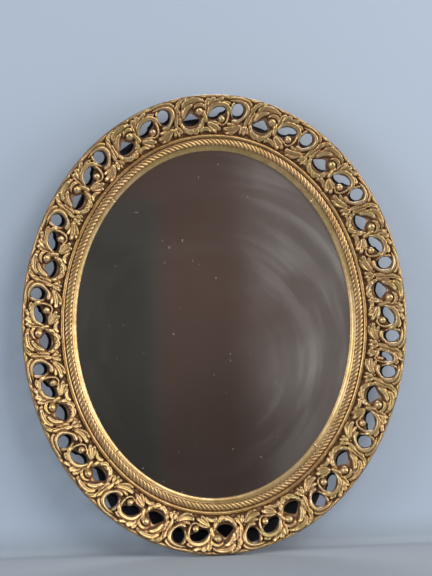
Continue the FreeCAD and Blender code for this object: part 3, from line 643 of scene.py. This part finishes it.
FAN = [
    [(1.126, 38, 1.6, 1.6), (1.134, 31, 2.7, 2.7), (1.138, 24.6, 2, 2)],
    [(1.135, 39, 1.6, 1.6), (1.168, 33, 2.7, 2.7), (1.195, 27.4, 2, 2)],
    [(1.118, 38.5, 1.6, 1.6), (1.1, 32.5, 3, 3), (1.068, 25.4, 2.2, 2.2)],
]
CALYX = [(1.16, 40, 2, 2), (1.19, 47, 4, 4), (1.2, 55, 3.4, 3.4), (1.19, 62, 2, 2)]
LEFT_BRANCH = [
    *((1.15, 57, 2, 2), (1.145, 65, 2.8, 2.8), (1.1, 70.8, 3, 2.6)),
    *((1.0, 73.4, 2.6, 2.4), (0.9, 73.4, 2.2, 2.2), (0.82, 72.6, 1.6, 1.6)),
]
RIGHT_BRANCH = [
    *((1.16, 54, 2.2, 2.2), (1.185, 62, 3.4, 3.4), (1.23, 68.6, 4, 3.6)),
    *((1.3, 72.8, 3, 2.6), (1.38, 74, 1.6, 1.6)),
]
STEM = [
    *((1.125, 37, 2.2, 2.2), (1.135, 44, 3, 3), (1.15, 52, 3, 3)),
    *((1.165, 60, 2.8, 2.8), (1.185, 67, 2.2, 2.2)),
]
GREAT_LEAF = [
    *((0.235, 46, 2, 2), (0.255, 53, 3.6, 3), (0.29, 60, 5, 4), (0.345, 65.6, 5, 5)),
    *((0.42, 68.6, 4.6, 5), (0.5, 68.8, 4, 4.4), (0.555, 66, 2.6, 2.6)),
]
GREAT_LEAF_LOBES = [
    [(0.235, 66, 1.6, 1.6), (0.27, 70, 2.2, 2.2), (0.33, 73.2, 2, 2)],
    [
        *((0.25, 61, 2, 2), (0.29, 66.6, 3, 3), (0.36, 69.8, 3.4, 3.2)),
        *((0.44, 70.4, 3, 2.8), (0.52, 68.6, 1.8, 1.8)),
    ],
    [
        *((0.242, 46.5, 1.6, 1.6), (0.26, 52, 2.4, 2.4), (0.297, 58.4, 2.8, 2.8)),
        *((0.347, 62.4, 2.6, 2.6), (0.4, 64, 1.6, 1.6)),
    ],
]
TEAR_LEAF = [
    *((0.572, 50, 2, 2), (0.564, 57.4, 2.6, 2.6), (0.527, 61.8, 2.8, 2.8)),
    *((0.47, 63.2, 2.8, 2.8), (0.42, 61, 2, 2), (0.4, 57.6, 1.4, 1.4)),
]
TEAR_STEM = [(0.563, 38, 2.6, 2.6), (0.556, 46, 3.6, 3.4), (0.532, 51.4, 4.2, 4), (0.495, 54, 4.6, 4.6)]
BEAN_LEAF_LOBES = [
    [(0.578, 50, 1.8, 1.8), (0.582, 59, 3, 3), (0.588, 66, 3.4, 3.4), (0.595, 72.4, 2.2, 2.2)],
    [(0.65, 63, 1.6, 1.6), (0.7, 66.8, 3, 2.8), (0.745, 69.8, 2.8, 2.6), (0.79, 72, 1.8, 1.8)],
    [(0.6, 57, 2, 2), (0.625, 63, 3.6, 3.6), (0.652, 68.6, 3.6, 3.4), (0.672, 73, 2.2, 2.2)],
]
COLLAR = [
    *((0.733, 40.5, 1.2, 1.2), (0.748, 37.4, 1.5, 1.5), (0.785, 35.3, 1.7, 1.7)),
    *((0.83, 36.8, 1.9, 1.9), (0.858, 41, 2, 2), (0.87, 46.5, 2, 2)),
    *((0.868, 52, 2, 2), (0.85, 57, 2.2, 2.2), (0.815, 60.5, 2.4, 2.4)),
]
BEAN_TIP = [(0.76, 65.4, 2, 2), (0.82, 65.8, 3, 3), (0.888, 64.6, 1.8, 1.8)]
BEAN_BAND = [
    *((0.583, 46, 1.8, 1.8), (0.6, 53.5, 2.6, 2.6), (0.64, 59.4, 3, 3), (0.7, 62.6, 3.2, 3.2)),
    *((0.77, 63.4, 3.4, 3.4), (0.83, 61.6, 3.2, 3.2), (0.875, 57, 3, 3), (0.903, 50.5, 1.8, 1.8)),
]
EYE_RIM = [
    *((0.93, 46, 1.4, 1.4), (0.907, 52, 1.6, 1.6), (0.902, 58, 1.8, 1.8)),
    *((0.912, 64, 2, 2), (0.94, 68, 2, 2)),
]
EYE_BAND = [
    *((0.925, 43, 2.6, 2.6), (0.95, 41.6, 3, 3), (0.99, 41.2, 3, 3), (1.03, 42.8, 2.5, 2.5)),
    *((1.07, 46.6, 2.1, 2.1), (1.1, 51, 2.6, 2.6), (1.117, 56, 3.1, 3.1), (1.11, 62, 3.1, 3.1)),
    *((1.075, 66.4, 2.9, 2.9), (1.02, 68.8, 2.6, 2.6), (0.95, 69.6, 2.6, 2.6), (0.87, 69, 1.8, 1.8)),
]

FORMS = [
    form(FOOT_ARCH, 3.2),
    *lobes_of(FOOT_LOBES, 5.0),
    form(LOW_LEAF, 4.2, vein=0.3, crown=0.4),
    *lobes_of(TURNED_LEAF, 5.0, 1.0, 1.0),
    form(EYE_LEAF, 1.6),
    *lobes_of(EYE_LEAF_LOBES, 5.0, 1.0, 1.0),
    form(CALYX, 2.8),
    *lobes_of(FAN, 4.8, 1.0),
    form(LEFT_BRANCH, 3.2, end=0.3, vein=0.25),
    form(RIGHT_BRANCH, 3.8, end=0.3, vein=0.25),
    form(STEM, 4.0, vein=0.4),
    form(GREAT_LEAF, 3.2, start=0.1, end=0.25),
    *lobes_of(GREAT_LEAF_LOBES, 5.0),
    form(TEAR_LEAF, 4.2, end=0.25, vein=0.25, crown=0.4),
    form(TEAR_STEM, 4.4, end=0.05),
    *lobes_of(BEAN_LEAF_LOBES, 4.8),
    form(EYE_RIM, 4.0, start=0.3, end=0.3),
    form(COLLAR, 4.6, start=0.08, end=0.1),
    form(BEAN_TIP, 4.6, vein=0.2, tip=0.3),
    form(BEAN_BAND, 5.2, end=0.15, vein=0.2, crown=0.4, tip=0.2),
    form(EYE_BAND, 5.2, start=0.04, end=0.3, crown=0.45),
]
BALLS = [((0.472, 54), 5.6), ((0.782, 42.8), 5.1)]
BALL_BASE = 1.2
GROOVES = [
    [(0.574, 51), (0.572, 62), (0.568, 75)],
    [(0.217, 60), (0.245, 66.5), (0.3, 72.5)],
]
GROOVE_WIDE = 0.9
GROOVE_DEEP = 1.9
print("forms in one repeat:", len(FORMS), "balls:", len(BALLS))

# %% [markdown]
# ## The border: carving one repeat
#
# The relief of a repeat is worked out on a fine grid, form by form: each form raises the surface
# inside its outline and cuts a narrow trench just outside it, which gives the crisp dark edges of
# real carving. The rims of the eyes and the outer edge are rounded at the end.

# %% Carving one repeat
GROUND = -2.8
TRENCH = 2.4
TRENCH_WIDE = 0.85
VEIN_WIDE = 0.4
EYE_ROUND = 1.7
RIM_ROUND = 3.0
RIM_MIDDLE = 74.4
RIM_HALF = 3.4
RIM_HEIGHT = 1.0


def swell(share, start, end):
    """1 in the middle of a form, falling off towards both ends."""
    grow = np.clip(share / start, 0, 1)
    fade = np.clip((1 - share) / end, 0, 1)
    return np.sqrt(np.sin(grow * math.pi / 2) * np.sin(fade * math.pi / 2))


def raise_form(height, top, edge, deep=1.0):
    """Lays one form over the height so far; edge is the distance outside its outline."""
    trench = deep * TRENCH * np.exp(-((np.clip(edge, 0, None) / TRENCH_WIDE) ** 2))
    lowered = np.maximum(height - trench, np.minimum(height, GROUND))
    return np.where(edge <= 0, np.maximum(height, top), lowered)


def carve(share, out):
    """Height above the slope, and distance to the nearest eye's edge, below zero inside the eye."""
    along = share * PITCH
    rim = 1 - ((out - RIM_MIDDLE) / RIM_HALF) ** 2
    height = GROUND + (RIM_HEIGHT - GROUND) * np.sqrt(np.clip(rim, 0, 1))
    for shape in FORMS:
        side, reached, row = nearest(shape["line"], along, out)
        full = swell(reached, shape["start"], shape["end"])
        half = np.where(side > 0, row[..., 2], row[..., 3]) * np.maximum(full, 0.05)
        across = np.abs(side) / half
        dome = np.clip(1 - across**2, 0, 1) ** shape["crown"]
        vein = 1 - shape["vein"] * np.exp(-((across / VEIN_WIDE) ** 2))
        curl = 1 + shape["tip"] * np.exp(-(((reached - 0.88) / 0.12) ** 2))
        body = (shape["height"] - shape["base"]) * dome * vein * np.maximum(full, 0.3)
        height = raise_form(height, shape["base"] + body * curl, np.abs(side) - half, shape["trench"])
    for (ball_share, ball_out), radius in BALLS:
        away = (along - ball_share * PITCH + PITCH / 2) % PITCH - PITCH / 2
        gap = np.hypot(away, out - ball_out)
        top = BALL_BASE + np.sqrt(np.clip(radius**2 - gap**2, 0, None))
        height = raise_form(height, top, gap - radius)
    for points in GROOVES:
        side, reached, row = nearest(to_line(points), along, out)
        height = height - GROOVE_DEEP * np.exp(-((side / GROOVE_WIDE) ** 2)) * swell(reached, 0.2, 0.2)
    eye = np.min([nearest(line, along, out, closed=True)[0] for line in EYES], axis=0)
    return height, eye


def rounded_edge(gap, radius):
    """How far a surface drops near an edge rounded to this radius."""
    inside = np.clip(1 - gap / radius, 0, 1)
    return radius * (1 - np.sqrt(1 - inside**2))


def softened(values, times):
    """Evens out neighbouring values, as layers of gesso do."""
    for _ in range(times):
        padded = np.pad(values, 1, mode="edge")
        cross = padded[:-2, 1:-1] + padded[2:, 1:-1] + padded[1:-1, :-2] + padded[1:-1, 2:]
        values = 0.5 * values + 0.125 * cross
    return values


print("carving functions ready")

# %% [markdown]
# ## The border: from relief to mesh
#
# The grid is cut along the edges of the eyes, so that each opening has a clean line instead of steps.
# The cut sheet gives the front; the same sheet, turned over, gives the back, and a wall joins the two
# round every edge.


# %% From relief to mesh
class PiercedSheet:
    """A grid cut where its field is below zero. Each corner lies between two grid points."""

    def __init__(self, field):
        rows, columns = field.shape
        flat = field.ravel()
        inside = flat > 0
        self.first = np.flatnonzero(inside).tolist()
        self.second = list(self.first)
        self.share = [0.0] * len(self.first)
        number = dict(zip(self.first, range(len(self.first))))
        cuts = {}

        def cut(a, b):
            key = (min(a, b), max(a, b))
            if key not in cuts:
                cuts[key] = len(self.first)
                share = float(np.clip(flat[key[0]] / (flat[key[0]] - flat[key[1]]), 0.08, 0.92))
                self.first.append(key[0])
                self.second.append(key[1])
                self.share.append(share)
            return cuts[key]

        self.faces = []
        for row in range(rows - 1):
            for column in range(columns - 1):
                start = row * columns + column
                ring = (start, start + 1, start + columns + 1, start + columns)
                face = []
                for a, b in zip(ring, ring[1:] + ring[:1]):
                    if inside[a]:
                        face.append(number[a])
                    if inside[a] != inside[b]:
                        face.append(cut(a, b))
                if len(face) > 2:
                    self.faces.append(tuple(face))
        directed = {(a, b) for face in self.faces for a, b in zip(face, face[1:] + face[:1])}
        self.rim = [(a, b) for a, b in directed if (b, a) not in directed]
        self.first = np.array(self.first)
        self.second = np.array(self.second)
        self.share = np.array(self.share)

    def at(self, values):
        """Values of a grid at the sheet's corners."""
        flat = values.ravel()
        return flat[self.first] * (1 - self.share) + flat[self.second] * self.share


WALL_TOP = 0.2
UNEVEN_BROAD = 0.16
UNEVEN_FINE = 0.1
HOLLOW_FULL = 1.65
BACK_RELIEF = -2.0
# The eye walls are painted near black: painted shade.
EYE_WALL_SHADE_RELIEF = -1.8
EDGE_RELIEF = -0.2


def stored_number(piece, name, values):
    layer = piece.data.attributes.new(name, "FLOAT", "POINT")
    layer.data.foreach_set("value", np.asarray(values, np.float32))


def casting(name, node, sheet, along, out, height, eye, eye_at, seed):
    """One casting: its carved front, its back and the walls between."""
    rng = np.random.default_rng(seed)
    wave = rng.uniform(0, 2 * math.pi, 4)
    uneven = UNEVEN_BROAD * np.sin(along / 9 + wave[0]) * np.sin(out / 7 + wave[1])
    uneven = uneven + UNEVEN_FINE * np.sin(along / 3.1 + out / 4 + wave[2])
    carved = height * rng.uniform(0.94, 1.04) + uneven
    hollow = softened(carved, 2) - softened(carved, 30)
    drop = rounded_edge(eye, EYE_ROUND) + rounded_edge(BORDER_OUT - out, RIM_ROUND)
    lift = np.maximum(front_lift(out) + carved - drop, back_lift(out) + 1.0)
    turn = turn_at(eye_at + along, BORDER_MIDDLE)
    front = place(turn, out, lift).reshape(-1, 3)
    back_out = out + back_shift(out)
    back = place(turn, back_out, back_lift(back_out)).reshape(-1, 3)
    front_corners = np.stack([sheet.at(front[:, axis]) for axis in range(3)], axis=-1)
    back_corners = np.stack([sheet.at(back[:, axis]) for axis in range(3)], axis=-1)
    count = len(front_corners)
    edge = sorted({a for a, b in sheet.rim})
    wall = dict(zip(edge, range(2 * count, 2 * count + len(edge))))
    wall_corners = front_corners[edge] + WALL_TOP * (back_corners[edge] - front_corners[edge])
    faces = [face[::-1] for face in sheet.faces]
    faces += [tuple(corner + count for corner in face) for face in sheet.faces]
    faces += [(a, b, wall[b], wall[a]) for a, b in sheet.rim]
    faces += [(wall[a], wall[b], b + count, a + count) for a, b in sheet.rim]
    piece = mesh_object(name, np.vstack([front_corners, back_corners, wall_corners]).tolist(), faces)
    in_eye = sheet.share[edge] > 0
    # The relief drives painted highlights on crests and painted shade in hollows; the eye walls get a
    # value that paints them near black, as painted shade.
    crests = sheet.at(np.clip(hollow / HOLLOW_FULL, -1, 1))
    walls = np.where(in_eye, EYE_WALL_SHADE_RELIEF, EDGE_RELIEF)
    stored_number(piece, "relief", np.concatenate([crests, np.full(count, BACK_RELIEF), walls]))
    piece.data.materials.append(carved_gold)
    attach(piece, "frame")
    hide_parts(node)
    return piece


rows = np.linspace(BORDER_IN, BORDER_OUT, round((BORDER_OUT - BORDER_IN) / GRID) + 1)
whole_shares = np.linspace(CASTING_END - 1, CASTING_END, round(PITCH / GRID) + 1)
share_grid, out_grid = np.meshgrid(whole_shares, rows)
height, eye = carve(share_grid, out_grid)
height = softened(height, 1)
sheet = PiercedSheet(eye)
print("corners on one casting's front:", len(sheet.first))

# %% [markdown]
# ## The border: setting the castings
#
# All whole castings share one carved pattern and differ only by small unevenness, as pressings from
# one mould do. On the cut one, the part before its round eye is squeezed into what room was left.

# %% Setting the castings
SQUEEZE_FROM = 0.88
SQUEEZE_START = 0.56

first_eye = FIRST_EYE * border_length
for number in range(1, REPEATS + 1):
    node = "border_casting_%02d" % number
    casting(
        "carved_border_%02d" % number,
        node,
        sheet,
        (share_grid - 1) * PITCH,
        out_grid,
        height,
        eye,
        first_eye + number * PITCH,
        seed=number,
    )

short_count = round(MAKE_UP_SHARE * PITCH / GRID) + 1
short_shares = np.linspace(CASTING_END - MAKE_UP_SHARE, CASTING_END, short_count)
short_grid, short_out = np.meshgrid(short_shares, rows)
pattern_share = np.interp(
    short_grid, [short_shares[0], SQUEEZE_FROM, CASTING_END], [SQUEEZE_START, SQUEEZE_FROM, CASTING_END]
)
short_height, short_eye = carve(pattern_share, short_out)
short_height = softened(short_height, 1)
casting(
    "carved_border_make_up",
    "border_casting_make_up",
    PiercedSheet(short_eye),
    (short_grid - 1) * PITCH,
    short_out,
    short_height,
    short_eye,
    first_eye,
    seed=REPEATS + 1,
)
print("castings set:", REPEATS + 1)

# %% [markdown]
# ## Rope strip
#
# A rope moulding is turned or pressed as a half round with slanting hollows. Here the hollows are cut
# into a half round strip by a wave that runs along the strip and is sheared across it.

# %% Rope strip
ROPE_MIDDLE = 12.2
ROPE_HALF = 5.1
ROPE_FLOOR = 24.5
ROPE_SHOULDER = 0.8
ROPE_RISE = 4.3
ROPE_DEPTH = 1.5
ROPE_SLANT = 1.0
ROPE_LOBES = 231
STEPS_PER_LOBE = 10
ROPE_ROWS = 13


def closed_bar(name, sections):
    """A mesh through a row of closed cross-sections, capped at both ends."""
    count, size = sections.shape[:2]
    faces = []
    for here in range(0, (count - 1) * size, size):
        for corner in range(size):
            after = (corner + 1) % size
            faces.append((here + corner, here + size + corner, here + size + after, here + after))
    faces.append(tuple(range(size)))
    faces.append(tuple(range((count - 1) * size, count * size))[::-1])
    return mesh_object(name, sections.reshape(-1, 3).tolist(), faces)


def rope(name, node, start_degrees, end_degrees):
    lobes = ROPE_LOBES * (end_degrees - start_degrees) / 360
    turns, lengths = measured_turns(ROPE_MIDDLE)
    pitch = lengths[-1] / ROPE_LOBES
    first = np.interp(math.radians(start_degrees), turns, lengths)
    last = np.interp(math.radians(end_degrees), turns, lengths)
    along = np.linspace(first, last, round(lobes * STEPS_PER_LOBE) + 1)[:, None]
    angle = np.linspace(0, math.pi, ROPE_ROWS)[None, :]
    across = -ROPE_HALF * np.cos(angle)
    phase = (along + ROPE_SLANT * across) / pitch
    lobe = np.abs(np.cos(math.pi * phase)) ** 0.7
    dip = ROPE_DEPTH * (1 - lobe) * np.sin(angle) ** 0.5
    out = ROPE_MIDDLE + across * (1 - 0.06 * (1 - lobe))
    lift = ROPE_FLOOR + ROPE_SHOULDER + ROPE_RISE * np.sin(angle) ** 0.5 - dip
    turn = turn_at(along, ROPE_MIDDLE) + 0 * out
    front = place(turn, out, np.maximum(lift, ROPE_FLOOR + 0.4))
    columns = front.shape[1]
    foot_outs = np.array([ROPE_MIDDLE + ROPE_HALF, ROPE_MIDDLE - ROPE_HALF])
    foot = place(turn[:, :1] + 0 * foot_outs, foot_outs, ROPE_FLOOR)
    ring = np.concatenate([front, foot], axis=1)
    piece = closed_bar(name, ring)
    # The relief darkens the hollows between the lobes and the outer side of the rope, next to the bead,
    # as painted shade.
    relief = np.full(ring.shape[:2], -1.0)
    relief[:, :columns] = 0.2 - 0.9 * (1 - lobe) - 0.9 * np.clip(-np.cos(angle), 0, 1) ** 6
    stored_number(piece, "relief", np.clip(relief, -1, 1).ravel())
    piece.data.materials.append(rope_gold)
    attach(piece, "frame")
    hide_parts(node)


for index, quarter in enumerate(("upper_right", "lower_right", "lower_left", "upper_left")):
    rope("rope_twist_" + quarter, "rope_strip_" + quarter, 90 * index, 90 * (index + 1))
print("lobes on the rope:", ROPE_LOBES)

# %% [markdown]
# ## Gesso and leaf on the ring
#
# The wooden ring is never gilded directly: its front is covered with a thin coat of gesso that also
# fills small gaps, and the leaf goes on that. The coat is a mesh of its own, swept round the oval
# over the cove, the rope channel and the bead, so the wood behind it stays bare.

# %% Gesso and leaf on the ring
COAT = 0.25
LIP_LIFT = 19.2
COVE_OUT = 6.8
COVE_LIFT = 26.0
COVE_RADIUS = 9.0
CHANNEL_OUT = 17.6
BEAD_LIFT = 28.5
BEAD_RISE = 1.9
SWEEP_STEPS = 150
COVE_RELIEF = 0.15
BEAD_RELIEF = 0.0


def arc_between(start, end, bulge, count):
    """Points on a shallow arc; bulge is its rise to the left of the way from start to end."""
    share = np.linspace(0, 1, count)[:, None]
    chord = np.subtract(end, start)
    side = np.array([-chord[1], chord[0]]) / np.linalg.norm(chord)
    return np.array(start) + share * chord + 4 * bulge * share * (1 - share) * side


cove_chord = math.hypot(COVE_OUT, COVE_LIFT - LIP_LIFT)
cove_depth = COVE_RADIUS - math.sqrt(COVE_RADIUS**2 - (cove_chord / 2) ** 2)
coat_line = np.vstack(
    [
        [(COAT, 17.3)],
        arc_between((COAT, LIP_LIFT), (COVE_OUT - 0.4, COVE_LIFT), -cove_depth, 12),
        [(COVE_OUT, COVE_LIFT - 0.1), (COVE_OUT + 0.1, ROPE_FLOOR), (CHANNEL_OUT - 0.1, ROPE_FLOOR)],
        arc_between((CHANNEL_OUT, BEAD_LIFT), (BORDER_IN - 0.1, BEAD_LIFT), BEAD_RISE, 9),
        [(BORDER_IN, BEAD_LIFT - 3.0)],
    ]
)


def coat(name, start_degrees, end_degrees):
    turn = np.radians(np.linspace(start_degrees, end_degrees, SWEEP_STEPS))[:, None]
    wave = 0.05 * np.sin(turn * 61) + 0.05 * np.sin(turn * 143 + 1.0)
    outs, lifts = coat_line.T
    outer = place(turn + 0 * outs, outs, lifts + COAT + wave)
    inner = place(turn + 0 * outs, outs, lifts - COAT)[:, ::-1]
    ring = np.concatenate([outer, inner], axis=1)
    piece = closed_bar(name, ring)
    # The floor of the rope channel, seen only in the gaps beside the rope, and the ends of the coat at
    # the glass and under the border are darkened as painted shade.
    channel = (lifts < ROPE_FLOOR + 0.5) & (outs > COVE_OUT)
    relief = np.where(channel, -1.0, COVE_RELIEF)
    relief[outs > CHANNEL_OUT - 0.05] = BEAD_RELIEF
    relief[0] = -0.6
    relief[-1] = -1.0
    stored_number(piece, "relief", np.tile(np.concatenate([relief, relief[::-1]]), len(ring)))
    piece.data.materials.append(plain_gold)
    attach(piece, "frame")


for index, quarter in enumerate(("right", "bottom", "left", "top")):
    coat("gilt_coat_" + quarter, 45 + 90 * index, 135 + 90 * index)
print("gilt coat laid over the ring")

# %% [markdown]
# ## Old looking glass
#
# The silvering still reflects well but the face carries a thin haze, wiped in wide arcs. Silver and
# haze are one material: a metal whose roughness and a pale veil follow broad curved streaks.

# %% Old looking glass
WIPE_MIDDLE = (-0.02, 0.0, -0.05)

glass = Paint("old_glass")
offset = glass.nodes.new("ShaderNodeVectorMath")
offset.operation = "SUBTRACT"
offset.inputs[1].default_value = WIPE_MIDDLE
glass.links.new(glass.spot, offset.inputs[0])
parts = glass.nodes.new("ShaderNodeSeparateXYZ")
glass.links.new(offset.outputs["Vector"], parts.inputs["Vector"])
sweep_angle = glass.sum("ARCTAN2", parts.outputs["Z"], parts.outputs["X"])
reach = glass.nodes.new("ShaderNodeVectorMath")
reach.operation = "LENGTH"
glass.links.new(offset.outputs["Vector"], reach.inputs[0])
wiped = glass.nodes.new("ShaderNodeCombineXYZ")
glass.links.new(glass.sum("MULTIPLY", reach.outputs["Value"], 34.0), wiped.inputs["X"])
glass.links.new(glass.sum("MULTIPLY", sweep_angle, 0.9), wiped.inputs["Y"])
streaks = glass.noise(1.0, detail=3.0, rough=0.5, warp=0.3, spot=wiped.outputs["Vector"])
arcs = glass.band(streaks, 0.38, 0.72)
away = glass.band(reach.outputs["Value"], 0.05, 0.17)
arcs = glass.sum("MULTIPLY", arcs, away)
cloud = glass.band(glass.noise(4.0, detail=3.0, warp=0.6), 0.30, 0.70, 0.35, 1.0)
to_right = glass.band(parts.outputs["X"], 0.03, 0.16, 0.08, 1.0)
to_right = glass.sum("MULTIPLY", to_right, glass.band(parts.outputs["Z"], -0.16, 0.06, 0.35, 1.0))
hazy = glass.band(arcs, 0.0, 1.0, 0.5, 1.0)
veil = glass.sum("MULTIPLY", glass.sum("MULTIPLY", hazy, cloud), to_right)
specks = glass.band(glass.noise(210.0, detail=0.0), 0.87, 0.90)
film = glass.sum("ADD", glass.sum("MULTIPLY", veil, 0.5), 0.01)
silver = glass.mix(specks, (0.80, 0.77, 0.72), (0.55, 0.5, 0.43))
glass.set(
    Base_Color=glass.mix(film, silver, (0.5, 0.48, 0.44)),
    Metallic=glass.sum("SUBTRACT", 1.0, glass.sum("MAXIMUM", film, glass.sum("MULTIPLY", specks, 0.4))),
    Roughness=glass.band(veil, 0.0, 1.0, 0.06, 0.15),
)
print("glass ready")

# %% [markdown]
# ## Wood, card and metal of the back
#
# The back is plain work: a bare softwood ring, a thin board held by brass turn buttons, and a brass
# hanging plate. Grain is noise drawn out along one direction.


# %% Wood, card and metal
def timber(name, light, dark, grain, gloss=0.6):
    paint = Paint(name)
    streaks = paint.noise(9.0, detail=5.0, rough=0.62, warp=0.6, spot=paint.stretched(grain))
    pores = paint.noise(60.0, detail=3.0, rough=0.7, spot=paint.stretched(grain))
    shade = paint.sum("ADD", paint.sum("MULTIPLY", streaks, 0.7), paint.sum("MULTIPLY", pores, 0.3))
    stain = paint.band(paint.noise(5.0, detail=3.0), 0.35, 0.7, 0.72, 1.0)
    colour = paint.mix(paint.band(shade, 0.36, 0.64), dark, light)
    shaded = paint.mix(stain, tuple(0.6 * part for part in dark), colour)
    paint.set(Base_Color=shaded, Roughness=gloss)
    paint.dents(shade, 0.0006, 0.4)
    return paint.material


def metal(name, clean, stained, roughness, spread):
    paint = Paint(name)
    stain = paint.band(paint.noise(spread, detail=5.0, rough=0.65, warp=0.5), 0.42, 0.66)
    scratch = paint.noise(900.0, detail=2.0, spot=paint.stretched((1.0, 1.0, 0.08)))
    paint.set(
        Base_Color=paint.mix(stain, clean, stained),
        Metallic=paint.band(stain, 0.0, 1.0, 1.0, 0.75),
        Roughness=paint.band(stain, 0.0, 1.0, roughness, roughness + 0.25),
    )
    paint.dents(scratch, 0.0001, 0.3)
    return paint.material


ring_wood = timber("ring_wood", (0.36, 0.22, 0.115), (0.20, 0.11, 0.055), (1.0, 1.0, 6.0), 0.7)
board_wood = timber("board_wood", (0.42, 0.28, 0.15), (0.26, 0.155, 0.075), (9.0, 1.0, 1.0), 0.7)
tongue_wood = timber("tongue_wood", (0.40, 0.25, 0.12), (0.25, 0.14, 0.06), (7.0, 1.0, 1.0), 0.7)
brass = metal("old_brass", (0.62, 0.42, 0.16), (0.20, 0.12, 0.05), 0.32, 60.0)
steel = metal("old_steel", (0.42, 0.40, 0.38), (0.13, 0.085, 0.06), 0.38, 150.0)
card = Paint("packing_card")
card_fibre = card.noise(160.0, detail=4.0)
card.set(Base_Color=card.mix(card_fibre, (0.30, 0.22, 0.14), (0.44, 0.34, 0.23)), Roughness=0.95)

FINISHES = {
    "ring_segment": ring_wood,
    "joint_tongue": tongue_wood,
    "hoop_lath": hoop_gold,
    "mirror_glass": glass.material,
    "packing_card": card.material,
    "backboard": board_wood,
    "turn_button": brass,
    "hanging": brass,
    "button_screws": steel,
    "plate_screws": steel,
    "rope_strip": rope_gold,
    "border_casting": carved_gold,
}
for name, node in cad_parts.items():
    for start, finish in FINISHES.items():
        if name.startswith(start):
            node.data.materials.clear()
            node.data.materials.append(finish)
print("finishes given to the nodes:", len(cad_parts))
